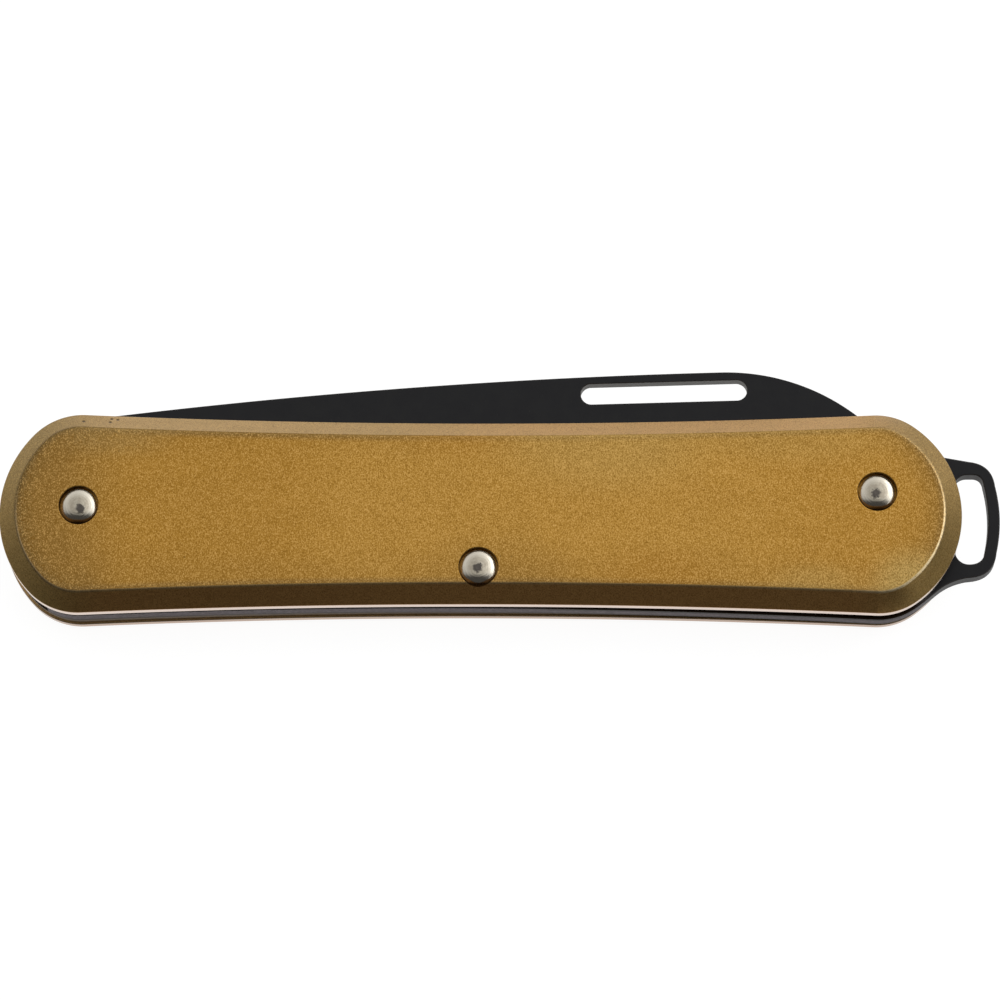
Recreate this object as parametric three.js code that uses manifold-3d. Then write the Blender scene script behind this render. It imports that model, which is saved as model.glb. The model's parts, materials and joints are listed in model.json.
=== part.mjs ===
// A one-blade folding pocket knife, shown closed. Millimetres, +Z up.
// The knife lies on its rear scale. +X runs along the handle from the pivot end to the lanyard
// loop, +Y points to the side where the blade comes out, and the origin is the middle of the
// handle on the outer face of the rear scale.

import * as THREE from "three";
import { mergeVertices } from "three/addons/utils/BufferGeometryUtils.js";
import Module from "manifold-3d";

// Handle outline
const HANDLE_LENGTH = 108;
const WAIST_HEIGHT = 21.1; // height of the handle at mid length, where it is slimmest
const WAIST_SAG = 1; // how far each long side draws in from its shoulders to the waist
const SHOULDER_INSET = 9.4; // from each end to the line where the shoulders are highest
const PIVOT_END_FULLNESS = 1.85; // how much flatter than a half circle the end is
const TAIL_END_FULLNESS = 0.95;
const PIVOT_SHOULDER_RADIUS = 7.5;
const TAIL_SHOULDER_RADIUS = 7.15;

// Scales and liners
const SCALE_WALL = 1.05; // upright wall of a scale, below its bevel
const BEVEL_DEPTH = 1.85;
const BEVEL_WIDTH = 2.06;
const BEVEL_ROUNDING = 0.25; // soft edge where the bevel meets the face
const WALL_ROUNDING = 0.08; // and where it meets the wall
const EDGE_BREAK = 0.1; // small chamfer on the edge of the inner face
const LINER_THICKNESS = 1;
const LINER_INSET = 0.25; // the liners stand back from the scales' edge

// Rivets
const PIN_RADIUS = 1.2;
const PIN_CLEARANCE = 0.05;
const HEAD_RADIUS = 1.86;
const HEAD_CHEEK = 0.75; // straight side of a head, under its dome
const HEAD_SUNK = 0.05; // how far the top of the dome stays under the scale's face
const RECESS_GAP = 0.34; // ring of air between a head and its recess
const RECESS_DEPTH = 1.15;
const RECESS_CHAMFER = 0.12;
const PIVOT_FROM_END = 9.05;
const PIVOT_RISE = 0.43; // above the handle's centre line
const TAIL_RIVET_FROM_END = 9.55;
const TAIL_RIVET_RISE = 2.07;
const MIDDLE_RIVET_SHIFT = -0.1; // along the handle from mid length
const MIDDLE_RIVET_FROM_BACK = 3.9; // up from the handle's back edge

// Pivot
const BUSHING_WALL = 0.95;
const RUNNING_CLEARANCE = 0.05; // round the bushing
const WASHER_THICKNESS = 0.2;
const SIDE_PLAY = 0.03; // between each washer and the tang
const WASHER_SETBACK = 0.6; // the washers are this much smaller than the tang
const OPEN_ANGLE = 175; // degrees that the blade turns from closed to open

// Backspring
const SPRING_THICKNESS = 2.1;
const SPRING_OVERHANG = 3.6; // the free end reaches this far past the pivot
const SPRING_WAIST = 3.9; // height of the limb that flexes
const SPRING_RECESS = 0.22; // the back lies this deep at the pivot end
const SPRING_MID_RECESS = 0.12;
const SPRING_PROUD = 0.16; // and stands this proud at the tail end
const SEAT_LENGTH = 9; // flat under the tang, from the pivot towards the middle
const SEAT_CLEARANCE = 0.1; // between the tang and the spring
const MIDDLE_BOSS_RADIUS = 2.6;
const TAIL_BOSS_RADIUS = 2.9;
const TAIL_RISE_LENGTH = 11; // over which the spring climbs to the tail boss
const SPRING_EDGE_BREAK = 0.12;

// Lanyard loop, one piece with the backspring
const LOOP_REACH = 4.4; // past the end of the handle
const LOOP_UPPER = 6.7;
const LOOP_LOWER = 6.82;
const LOOP_CORNER = 2.85;
const LOOP_BOW = 0.45; // how far the outer side bulges
const LOOP_WALL = 1.3;
const LOOP_SIDE_WALL = 1.55; // above and below the eye
const LOOP_UPPER_SLOPE = 0.18; // rise of the loop's upper side towards the handle
const LOOP_UPPER_ROOT = 3; // that side starts this far inside the handle's end
const LOOP_LOWER_SLOPE = 0.19; // rise of the lower side away from the handle, where it levels out
const LOOP_LOWER_ROOT = 0.8; // it levels out this far past the handle's end
const EYE_INSET = 0.7; // the eye starts this far inside the handle's end
const EYE_CORNER = 1.55;
const EYE_UPPER_CORNER = 1.2; // the outer upper one, which is tighter

// Blade
const BLADE_PLAY = SIDE_PLAY + WASHER_THICKNESS;
const BLADE_THICKNESS = SPRING_THICKNESS - 2 * BLADE_PLAY;
const TANG_RADIUS = 5.6;
const KICK_LENGTH = 7; // flat of the tang that rests on the spring, ahead of the pivot
const KICK_HEIGHT = 1.15; // the cutting edge starts this far above the kick
const CHOIL_RADIUS = 1.1; // notch between the kick and the cutting edge
const TIP_SETBACK = 6.1; // from the tip to the tail end of the handle
const EDGE_CLEARANCE = 0.7; // from the cutting edge to the tail boss, closed
const SPINE_RISE = 11.22; // height of the spine over the pivot
const SPINE_RADIUS = 700;
const SPINE_CROWN = 91; // the spine would be highest this far ahead of the pivot
const NOSE_RADIUS = 23.5;
const SLOT_LENGTH = 16.43; // between the centres of its round ends
const SLOT_RADIUS = 1.21;
const SLOT_BAND = 0.85; // metal left between the slot and the spine
const SLOT_TIP_BAND = 0.97; // the same at the end near the tip
const SLOT_FROM_TIP = 18.96;
const GRIND_HEIGHT = 6.4; // the ground flat starts this far above the cutting edge
const EDGE_BEVEL_HEIGHT = 0.7;
const EDGE_SHOULDER = 0.36; // thickness where the edge bevel starts
const EDGE_THICKNESS = 0.04;
const PLUNGE_START = 0.8; // from the heel to the start of the grind
const PLUNGE_LENGTH = 5; // over which the grind sweeps up to its full height

// Layers, from the rear face up
const SCALE_THICKNESS = SCALE_WALL + BEVEL_DEPTH;
const REAR_LINER_Z = SCALE_THICKNESS;
const SPRING_Z = REAR_LINER_Z + LINER_THICKNESS;
const FRONT_LINER_Z = SPRING_Z + SPRING_THICKNESS;
const FRONT_SCALE_Z = FRONT_LINER_Z + LINER_THICKNESS;
const HANDLE_THICKNESS = FRONT_SCALE_Z + SCALE_THICKNESS;
const MID_Z = HANDLE_THICKNESS / 2;

// Places that several pieces share
const HALF_LENGTH = HANDLE_LENGTH / 2;
const HALF_WAIST = WAIST_HEIGHT / 2;
const PIN_HOLE = PIN_RADIUS + PIN_CLEARANCE;
const BUSHING_RADIUS = PIN_HOLE + BUSHING_WALL;
const PIVOT = new THREE.Vector2(-HALF_LENGTH + PIVOT_FROM_END, PIVOT_RISE);
const MIDDLE_RIVET = new THREE.Vector2(MIDDLE_RIVET_SHIFT, MIDDLE_RIVET_FROM_BACK - HALF_WAIST);
const TAIL_RIVET = new THREE.Vector2(HALF_LENGTH - TAIL_RIVET_FROM_END, TAIL_RIVET_RISE);
const OPEN_TURN = THREE.MathUtils.degToRad(OPEN_ANGLE);

// Drawing
const QUARTER_PULL = 0.55; // handle of a curve that turns a round quarter, as part of its radius
const JOIN_PULL = 0.45; // handle of a curve that joins two slopes, as part of its length
const CORNER_LEAN = 0.1; // how far a corner's control point is drawn in, as part of its size
const OVERSHOOT = 1; // a cutting tool reaches this far past what it cuts
const ROUND_STEPS = 28; // sides of a pin or a round cutter
const ARC_STEPS = 8; // pieces of each curve of an outline; three.js gives an arc twice as many

const wasm = await Module();
wasm.setup();

// A geometry with shared vertices as a manifold-3d solid.
function solid(geometry) {
  const bare = geometry.clone();
  bare.deleteAttribute("normal");
  bare.deleteAttribute("uv");
  const merged = mergeVertices(bare, 1e-4);
  return new wasm.Manifold(
    new wasm.Mesh({
      numProp: 3,
      vertProperties: merged.attributes.position.array,
      triVerts: new Uint32Array(merged.index.array),
    }),
  );
}

// And back to a geometry, flat shaded so that its edges read as machined ones.
function geometryOf(manifold) {
  const { vertProperties, triVerts } = manifold.getMesh();
  const shared = new THREE.BufferGeometry();
  shared.setAttribute("position", new THREE.BufferAttribute(new Float32Array(vertProperties), 3));
  shared.setIndex(new THREE.BufferAttribute(new Uint32Array(triVerts), 1));
  const geometry = shared.toNonIndexed();
  geometry.computeVertexNormals();
  return geometry;
}

function pieceOf(name, geometry, material) {
  const mesh = new THREE.Mesh(geometry, material);
  mesh.name = name;
  return mesh;
}

// The point that lies ra from a and rb from b, on the right of the way from a to b.
function circlesMeet(a, ra, b, rb) {
  const way = b.clone().sub(a);
  const distance = way.length();
  const along = (ra * ra - rb * rb + distance * distance) / (2 * distance);
  const aside = Math.sqrt(Math.max(ra * ra - along * along, 0));
  way.normalize();
  return new THREE.Vector2(a.x + way.x * along + way.y * aside, a.y + way.y * along - way.x * aside);
}

const angleFrom = (centre, point) => Math.atan2(point.y - centre.y, point.x - centre.x);
const onCircle = (centre, radius, angle) =>
  new THREE.Vector2(centre.x + radius * Math.cos(angle), centre.y + radius * Math.sin(angle));

// Centre and radius of the circle through three points.
function circleThrough(a, b, c) {
  const [p, q] = [b.clone().sub(a), c.clone().sub(a)];
  const cross = 2 * p.cross(q);
  const offset = new THREE.Vector2(
    (q.y * p.lengthSq() - p.y * q.lengthSq()) / cross,
    (p.x * q.lengthSq() - q.x * p.lengthSq()) / cross,
  );
  return { centre: a.clone().add(offset), radius: offset.length() };
}

// One quarter of the handle's outline: the hollow long side, a round shoulder and the end arc, all
// tangent. It is worked out for the +X, +Y quarter; side and up say which quarter it stands for.
function outlineQuarter(side, up, fullness, shoulderRadius) {
  const span = HALF_LENGTH - SHOULDER_INSET;
  const sideRadius = (span * span + WAIST_SAG * WAIST_SAG) / (2 * WAIST_SAG);
  const endRadius = HALF_WAIST + WAIST_SAG + fullness;
  const hollow = new THREE.Vector2(0, HALF_WAIST + sideRadius);
  const end = new THREE.Vector2(HALF_LENGTH - endRadius, 0);
  const shoulder = circlesMeet(end, endRadius - shoulderRadius, hollow, sideRadius + shoulderRadius);
  const tuck = new THREE.Vector2(side, up);
  return {
    hollow: hollow.multiply(tuck),
    end: end.multiply(tuck),
    shoulder: shoulder.multiply(tuck),
    sideRadius,
    endRadius,
    shoulderRadius,
  };
}

const QUARTERS = {
  tailUpper: outlineQuarter(1, 1, TAIL_END_FULLNESS, TAIL_SHOULDER_RADIUS),
  pivotUpper: outlineQuarter(-1, 1, PIVOT_END_FULLNESS, PIVOT_SHOULDER_RADIUS),
  pivotLower: outlineQuarter(-1, -1, PIVOT_END_FULLNESS, PIVOT_SHOULDER_RADIUS),
  tailLower: outlineQuarter(1, -1, TAIL_END_FULLNESS, TAIL_SHOULDER_RADIUS),
};

// Direction in which a shoulder runs into its end arc, and into its hollow side.
const endTurn = (quarter) => angleFrom(quarter.end, quarter.shoulder);
const sideTurn = (quarter) => angleFrom(quarter.shoulder, quarter.hollow);

// The whole outline, drawn in by inset all round, with the same number of points for any inset.
function handleOutline(inset) {
  const { tailUpper, pivotUpper, pivotLower, tailLower } = QUARTERS;
  const shape = new THREE.Shape();
  const full = 2 * Math.PI;
  shape.absarc(tailUpper.end.x, tailUpper.end.y, tailUpper.endRadius - inset,
    endTurn(tailLower), endTurn(tailUpper));
  shape.absarc(tailUpper.shoulder.x, tailUpper.shoulder.y, tailUpper.shoulderRadius - inset,
    endTurn(tailUpper), sideTurn(tailUpper));
  shape.absarc(0, tailUpper.hollow.y, tailUpper.sideRadius + inset,
    sideTurn(tailUpper) - Math.PI, sideTurn(pivotUpper) - Math.PI, true);
  shape.absarc(pivotUpper.shoulder.x, pivotUpper.shoulder.y, pivotUpper.shoulderRadius - inset,
    sideTurn(pivotUpper), endTurn(pivotUpper));
  shape.absarc(pivotUpper.end.x, pivotUpper.end.y, pivotUpper.endRadius - inset,
    endTurn(pivotUpper), endTurn(pivotLower) + full);
  shape.absarc(pivotLower.shoulder.x, pivotLower.shoulder.y, pivotLower.shoulderRadius - inset,
    endTurn(pivotLower) + full, sideTurn(pivotLower) + full);
  shape.absarc(0, pivotLower.hollow.y, pivotLower.sideRadius + inset,
    sideTurn(pivotLower) + Math.PI, sideTurn(tailLower) + Math.PI, true);
  shape.absarc(tailLower.shoulder.x, tailLower.shoulder.y, tailLower.shoulderRadius - inset,
    sideTurn(tailLower), endTurn(tailLower));
  return shape;
}

function roundHole(centre, radius) {
  return new THREE.Path().absarc(centre.x, centre.y, radius, 0, 2 * Math.PI, true);
}

// A round tool or pin: its profile, in radius and height, turned about the Z axis at a point.
function turned(profile, at) {
  const points = profile.map(([radius, height]) => new THREE.Vector2(radius, height));
  const geometry = new THREE.LatheGeometry(points, ROUND_STEPS);
  geometry.rotateX(Math.PI / 2);
  geometry.translate(at.x, at.y, 0);
  return geometry;
}

// What is cut out of a scale, whose inner face is at height 0, for one rivet: the pin's hole and
// the wider recess for its head, with a chamfered mouth.
function rivetCutter(at) {
  const seat = SCALE_THICKNESS - RECESS_DEPTH;
  const recess = HEAD_RADIUS + RECESS_GAP;
  const above = SCALE_THICKNESS + OVERSHOOT;
  return solid(turned([
    [0, -OVERSHOOT],
    [PIN_HOLE, -OVERSHOOT],
    [PIN_HOLE, seat],
    [recess, seat],
    [recess, SCALE_THICKNESS - RECESS_CHAMFER],
    [recess + RECESS_CHAMFER, SCALE_THICKNESS],
    [recess + RECESS_CHAMFER, above],
    [0, above],
  ], at));
}

// Section of a scale's rim as inset and height, from the inner face over the wall and the bevel to
// the outer face, with both edges of the bevel softened.
function rimProfile() {
  const lean = Math.hypot(BEVEL_WIDTH, BEVEL_DEPTH);
  const [across, up] = [BEVEL_WIDTH / lean, BEVEL_DEPTH / lean];
  const [soft, crisp] = [BEVEL_ROUNDING, WALL_ROUNDING];
  const path = new THREE.Path();
  path.moveTo(EDGE_BREAK, 0);
  path.lineTo(0, EDGE_BREAK);
  path.lineTo(0, SCALE_WALL - crisp);
  path.quadraticCurveTo(0, SCALE_WALL, crisp * across, SCALE_WALL + crisp * up);
  path.lineTo(BEVEL_WIDTH - soft * across, SCALE_THICKNESS - soft * up);
  path.quadraticCurveTo(BEVEL_WIDTH, SCALE_THICKNESS, BEVEL_WIDTH + soft, SCALE_THICKNESS);
  return path.getPoints(2);
}

// A scale with its inner face down: the rim's section carried round the outline, closed by a flat
// face at each end and cut for the three rivets.
function scaleSolid() {
  const rings = rimProfile().map(({ x: inset, y: height }) =>
    mergeRing(handleOutline(inset).getPoints(ARC_STEPS)).map((p) => [p.x, p.y, height]));
  const count = rings[0].length;
  const faces = [];
  for (let level = 0; level + 1 < rings.length; level++) {
    for (let i = 0; i < count; i++) {
      const [a, b] = [level * count + i, level * count + ((i + 1) % count)];
      faces.push(a, b, b + count, a, b + count, a + count);
    }
  }
  const flat = (ring) => ring.map(([x, y]) => new THREE.Vector2(x, y));
  const top = (rings.length - 1) * count;
  for (const [a, b, c] of THREE.ShapeUtils.triangulateShape(flat(rings[0]), [])) faces.push(a, c, b);
  for (const [a, b, c] of THREE.ShapeUtils.triangulateShape(flat(rings.at(-1)), [])) {
    faces.push(top + a, top + b, top + c);
  }
  const geometry = new THREE.BufferGeometry();
  geometry.setAttribute("position", new THREE.Float32BufferAttribute(rings.flat(2), 3));
  geometry.setIndex(faces);
  let scale = solid(geometry);
  for (const at of [PIVOT, MIDDLE_RIVET, TAIL_RIVET]) scale = scale.subtract(rivetCutter(at));
  return scale;
}

// Neighbouring arcs share their end points: each is kept once.
function mergeRing(points) {
  return points.filter((p, i) => p.distanceTo(points[(i + 1) % points.length]) > 1e-6);
}

// A liner: the handle's outline a little drawn in, with a hole for each rivet.
function linerGeometry() {
  const shape = handleOutline(LINER_INSET);
  shape.holes = [PIVOT, MIDDLE_RIVET, TAIL_RIVET].map((at) => roundHole(at, PIN_HOLE));
  return new THREE.ExtrudeGeometry(shape, {
    depth: LINER_THICKNESS,
    bevelEnabled: false,
    curveSegments: ARC_STEPS,
  });
}

// The lanyard loop's outer side, walked upwards from the lower root.
function drawLoop(shape) {
  const outer = HALF_LENGTH + LOOP_REACH - LOOP_BOW;
  const heel = HALF_LENGTH + LOOP_REACH - LOOP_CORNER - LOOP_BOW;
  const lean = CORNER_LEAN * LOOP_CORNER;
  shape.lineTo(heel, -LOOP_LOWER);
  shape.quadraticCurveTo(outer - lean, -LOOP_LOWER + lean, outer, -LOOP_LOWER + LOOP_CORNER);
  shape.quadraticCurveTo(outer + 2 * LOOP_BOW, 0, outer, LOOP_UPPER - LOOP_CORNER);
  shape.quadraticCurveTo(outer - lean, LOOP_UPPER - lean, heel, LOOP_UPPER);
}

// The eye of the loop, with a wall's thickness left all round.
function eyePath() {
  const left = HALF_LENGTH - EYE_INSET;
  const right = HALF_LENGTH + LOOP_REACH - LOOP_BOW - LOOP_WALL;
  const [top, bottom] = [LOOP_UPPER - LOOP_SIDE_WALL, LOOP_SIDE_WALL - LOOP_LOWER];
  const [corner, tight] = [EYE_CORNER, EYE_UPPER_CORNER];
  const lean = CORNER_LEAN * corner;
  const path = new THREE.Path();
  path.moveTo(left, bottom + corner);
  path.absarc(left + corner, top - corner, corner, Math.PI, Math.PI / 2, true);
  path.lineTo(right - tight, top);
  path.quadraticCurveTo(right - CORNER_LEAN * tight, top, right, top - tight);
  path.quadraticCurveTo(right + 2 * LOOP_BOW, 0, right, bottom + corner);
  path.quadraticCurveTo(right - lean, bottom, left + corner, bottom);
  path.absarc(left + corner, bottom + corner, corner, -Math.PI / 2, -Math.PI, true);
  return path;
}

// The backspring with the loop at its tail: from its free end along the back to the loop, and home
// along the inner edge over the two bosses and the limb that flexes.
function springOutline() {
  const { pivotLower, tailLower } = QUARTERS;
  const seat = PIVOT.y - TANG_RADIUS - SEAT_CLEARANCE;
  const freeEnd = PIVOT.x - SPRING_OVERHANG;
  const shape = new THREE.Shape();

  const heelRadius = pivotLower.shoulderRadius - SPRING_RECESS;
  const heelTurn = -Math.acos((freeEnd - pivotLower.shoulder.x) / heelRadius);
  shape.moveTo(freeEnd, seat);
  shape.absarc(pivotLower.shoulder.x, pivotLower.shoulder.y, heelRadius, heelTurn, sideTurn(pivotLower));

  const tailRadius = tailLower.shoulderRadius + SPRING_PROUD;
  const backStart = onCircle(pivotLower.shoulder, heelRadius, sideTurn(pivotLower));
  const backEnd = onCircle(tailLower.shoulder, tailRadius, sideTurn(tailLower));
  const back = circleThrough(backStart, new THREE.Vector2(0, SPRING_MID_RECESS - HALF_WAIST), backEnd);
  shape.absarc(back.centre.x, back.centre.y, back.radius,
    angleFrom(back.centre, backStart), angleFrom(back.centre, backEnd), true);
  shape.absarc(tailLower.shoulder.x, tailLower.shoulder.y, tailRadius,
    sideTurn(tailLower), endTurn(tailLower));

  const root = onCircle(tailLower.shoulder, tailRadius, endTurn(tailLower));
  const heading = new THREE.Vector2(-Math.sin(endTurn(tailLower)), Math.cos(endTurn(tailLower)));
  const lowerRoot = new THREE.Vector2(HALF_LENGTH + LOOP_LOWER_ROOT, -LOOP_LOWER);
  const reach = JOIN_PULL * root.distanceTo(lowerRoot);
  shape.bezierCurveTo(root.x + reach * heading.x, root.y + reach * heading.y,
    lowerRoot.x - reach, lowerRoot.y - LOOP_LOWER_SLOPE * reach, lowerRoot.x, lowerRoot.y);
  drawLoop(shape);

  // The upper side runs on into the handle, and a hollow curve leads it down to the tail boss.
  const loopTop = HALF_LENGTH + LOOP_REACH - LOOP_CORNER - LOOP_BOW;
  const upperRootX = HALF_LENGTH - LOOP_UPPER_ROOT;
  shape.lineTo(upperRootX, LOOP_UPPER + LOOP_UPPER_SLOPE * (loopTop - upperRootX));
  const bossTurn = Math.PI / 3;
  const bossStart = onCircle(TAIL_RIVET, TAIL_BOSS_RADIUS, bossTurn);
  const hollowAt = onCircle(TAIL_RIVET, TAIL_BOSS_RADIUS / Math.cos(bossTurn / 2), bossTurn / 2);
  shape.quadraticCurveTo(hollowAt.x, hollowAt.y, bossStart.x, bossStart.y);

  // From the boss the inner edge falls to the spring's floor, at the height of the middle boss.
  const fallTurn = 0.75 * Math.PI;
  shape.absarc(TAIL_RIVET.x, TAIL_RIVET.y, TAIL_BOSS_RADIUS, bossTurn, fallTurn);
  const inner = MIDDLE_RIVET.y + MIDDLE_BOSS_RADIUS;
  const bossEnd = onCircle(TAIL_RIVET, TAIL_BOSS_RADIUS, fallTurn);
  const floorStart = bossEnd.x - TAIL_RISE_LENGTH;
  const pull = JOIN_PULL * TAIL_RISE_LENGTH;
  shape.bezierCurveTo(bossEnd.x - pull * Math.SQRT1_2, bossEnd.y - pull * Math.SQRT1_2,
    floorStart + pull, inner, floorStart, inner);
  shape.lineTo(MIDDLE_RIVET.x, inner);
  shape.absarc(MIDDLE_RIVET.x, MIDDLE_RIVET.y, MIDDLE_BOSS_RADIUS, Math.PI / 2, fallTurn);

  // The limb is slimmest half way between the middle boss and the seat under the tang.
  const bossFoot = onCircle(MIDDLE_RIVET, MIDDLE_BOSS_RADIUS, fallTurn);
  const seatEnd = PIVOT.x + SEAT_LENGTH;
  const limb = SPRING_WAIST - HALF_WAIST;
  const limbX = (bossFoot.x + seatEnd) / 2;
  const sweep = JOIN_PULL * (bossFoot.x - limbX);
  const dip = JOIN_PULL * (bossFoot.y - limb);
  shape.bezierCurveTo(bossFoot.x - dip, bossFoot.y - dip, limbX + sweep, limb, limbX, limb);
  shape.bezierCurveTo(limbX - sweep, limb, seatEnd + sweep, seat, seatEnd, seat);
  shape.lineTo(freeEnd, seat);
  return shape;
}

function springGeometry() {
  const shape = new THREE.Shape(mergeRing(springOutline().getPoints(ARC_STEPS)));
  shape.holes = [roundHole(MIDDLE_RIVET, PIN_HOLE), roundHole(TAIL_RIVET, PIN_HOLE), eyePath()].map(
    (hole) => new THREE.Path(mergeRing(hole.getPoints(ARC_STEPS))),
  );
  const geometry = new THREE.ExtrudeGeometry(shape, {
    depth: SPRING_THICKNESS - 2 * SPRING_EDGE_BREAK,
    bevelThickness: SPRING_EDGE_BREAK,
    bevelSize: SPRING_EDGE_BREAK,
    bevelOffset: -SPRING_EDGE_BREAK,
    bevelSegments: 1,
  });
  geometry.translate(0, 0, SPRING_EDGE_BREAK);
  return geometry;
}

// The blade is drawn closed, from the pivot: x ahead along the handle, y up to the spine.
const SPINE_CENTRE = new THREE.Vector2(
  SPINE_CROWN,
  SPINE_RISE - Math.sqrt(SPINE_RADIUS * SPINE_RADIUS - SPINE_CROWN * SPINE_CROWN),
);
const spineHeight = (x) =>
  SPINE_CENTRE.y + Math.sqrt(SPINE_RADIUS * SPINE_RADIUS - (x - SPINE_CENTRE.x) ** 2);

// The edge starts at the heel, above the kick, and passes over the tail boss with a clearance.
const HEEL = new THREE.Vector2(KICK_LENGTH + 2 * CHOIL_RADIUS, KICK_HEIGHT - TANG_RADIUS);
const BOSS_FROM_HEEL = TAIL_RIVET.clone().sub(PIVOT).sub(HEEL);
const EDGE_TURN = BOSS_FROM_HEEL.angle() +
  Math.asin((TAIL_BOSS_RADIUS + EDGE_CLEARANCE) / BOSS_FROM_HEEL.length());
const TIP_X = HALF_LENGTH - TIP_SETBACK - PIVOT.x;
const TIP = new THREE.Vector2(TIP_X, HEEL.y + (TIP_X - HEEL.x) * Math.tan(EDGE_TURN));
const NOSE_CENTRE = circlesMeet(TIP, NOSE_RADIUS, SPINE_CENTRE, SPINE_RADIUS - NOSE_RADIUS);

// A point of the open blade, from the pivot, where it lies when the blade is closed.
const whenClosed = (x, y) => new THREE.Vector2(x, y).rotateAround(new THREE.Vector2(), -OPEN_TURN);

function bladeOutline() {
  const shape = new THREE.Shape();
  const crownTurn = angleFrom(SPINE_CENTRE, NOSE_CENTRE);
  shape.absarc(NOSE_CENTRE.x, NOSE_CENTRE.y, NOSE_RADIUS, angleFrom(NOSE_CENTRE, TIP), crownTurn);

  // The shoulder stops the open blade: it then stands upright against the spring's free end.
  const stop = -SPRING_OVERHANG - SEAT_CLEARANCE;
  const shoulderFoot = whenClosed(stop, -TANG_RADIUS);
  const shoulderWay = shoulderFoot.clone().sub(whenClosed(stop, 0)).normalize();
  const climb = (spineHeight(shoulderFoot.x) - shoulderFoot.y) / shoulderWay.y;
  const shoulderTop = shoulderFoot.clone().addScaledVector(shoulderWay, climb);
  shape.absarc(SPINE_CENTRE.x, SPINE_CENTRE.y, SPINE_RADIUS,
    crownTurn, angleFrom(SPINE_CENTRE, shoulderTop));
  shape.lineTo(shoulderFoot.x, shoulderFoot.y);

  // Round the pivot the tang keeps its radius, with a flat at each end of its turn.
  shape.absarc(0, 0, TANG_RADIUS, 1.5 * Math.PI - OPEN_TURN, 1.5 * Math.PI);
  shape.lineTo(KICK_LENGTH, -TANG_RADIUS);
  shape.lineTo(KICK_LENGTH, HEEL.y);
  shape.absarc(KICK_LENGTH + CHOIL_RADIUS, HEEL.y, CHOIL_RADIUS, Math.PI, 0, true);
  shape.lineTo(TIP.x, TIP.y);
  return shape;
}

// The long slot under the spine that the blade is opened by.
function slotPath() {
  const front = TIP.x - SLOT_FROM_TIP;
  const rear = front - SLOT_LENGTH;
  const [a, b] = [[rear, SLOT_BAND], [front, SLOT_TIP_BAND]].map(([x, band]) =>
    new THREE.Vector2(x, spineHeight(x) - band - SLOT_RADIUS));
  const turn = b.clone().sub(a).angle();
  const path = new THREE.Path();
  path.absarc(a.x, a.y, SLOT_RADIUS, turn - Math.PI / 2, turn + Math.PI / 2, true);
  path.absarc(b.x, b.y, SLOT_RADIUS, turn + Math.PI / 2, turn - Math.PI / 2, true);
  return path;
}

// What the grinding wheel takes off the upper side: a long wedge along the cutting edge, drawn as a
// section across it, whose start sweeps up from the heel.
function grindCutter() {
  const half = BLADE_THICKNESS / 2;
  const length = TIP.distanceTo(HEEL) + NOSE_RADIUS;
  const section = new THREE.Shape();
  section.moveTo(-OVERSHOOT, EDGE_THICKNESS / 2);
  section.lineTo(0, EDGE_THICKNESS / 2);
  section.lineTo(EDGE_BEVEL_HEIGHT, EDGE_SHOULDER / 2);
  section.lineTo(GRIND_HEIGHT, half);
  section.lineTo(-OVERSHOOT, half + OVERSHOOT);
  const wedge = new THREE.ExtrudeGeometry(section, { depth: length, bevelEnabled: false });
  wedge.applyMatrix4(new THREE.Matrix4().makeBasis(
    new THREE.Vector3(0, 1, 0), new THREE.Vector3(0, 0, 1), new THREE.Vector3(1, 0, 0)));

  const top = GRIND_HEIGHT + OVERSHOOT;
  const sweep = new THREE.Shape();
  sweep.moveTo(PLUNGE_START, -2 * OVERSHOOT);
  sweep.absellipse(PLUNGE_START + PLUNGE_LENGTH, 0, PLUNGE_LENGTH, top, Math.PI, Math.PI / 2, true);
  sweep.lineTo(length + OVERSHOOT, top);
  sweep.lineTo(length + OVERSHOOT, -2 * OVERSHOOT);
  const region = new THREE.ExtrudeGeometry(sweep, {
    depth: half + 2 * OVERSHOOT,
    bevelEnabled: false,
  });

  const cutter = solid(wedge).intersect(solid(region));
  return cutter.rotate([0, 0, THREE.MathUtils.radToDeg(EDGE_TURN)]).translate([HEEL.x, HEEL.y, 0]);
}

function bladeGeometry() {
  const shape = bladeOutline();
  shape.holes = [
    roundHole(new THREE.Vector2(), BUSHING_RADIUS + RUNNING_CLEARANCE),
    slotPath(),
  ];
  const blank = new THREE.ExtrudeGeometry(shape, {
    depth: BLADE_THICKNESS,
    bevelEnabled: false,
    curveSegments: 2 * ARC_STEPS,
  });
  blank.translate(0, 0, -BLADE_THICKNESS / 2);
  const upper = grindCutter();
  return geometryOf(solid(blank).subtract(upper).subtract(upper.mirror([0, 0, 1])));
}

// A rivet lying in both scales: a pin with a domed head at each end, the same both ways up.
function rivetGeometry() {
  const seat = MID_Z - RECESS_DEPTH;
  const cheek = seat + HEAD_CHEEK;
  const crown = MID_Z - HEAD_SUNK;
  const dome = new THREE.Path();
  dome.moveTo(PIN_RADIUS, 0);
  dome.lineTo(PIN_RADIUS, seat);
  dome.lineTo(HEAD_RADIUS, seat);
  dome.lineTo(HEAD_RADIUS, cheek);
  dome.bezierCurveTo(HEAD_RADIUS, cheek + QUARTER_PULL * (crown - cheek),
    QUARTER_PULL * HEAD_RADIUS, crown, 0, crown);
  const upper = dome.getPoints(5).map(({ x, y }) => [x, y]);
  const lower = upper.slice(1).reverse().map(([radius, height]) => [radius, -height]);
  return turned([...lower, ...upper], new THREE.Vector2());
}

function ringGeometry(inner, outer, height) {
  return turned([[inner, 0], [outer, 0], [outer, height], [inner, height], [inner, 0]],
    new THREE.Vector2());
}

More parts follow.
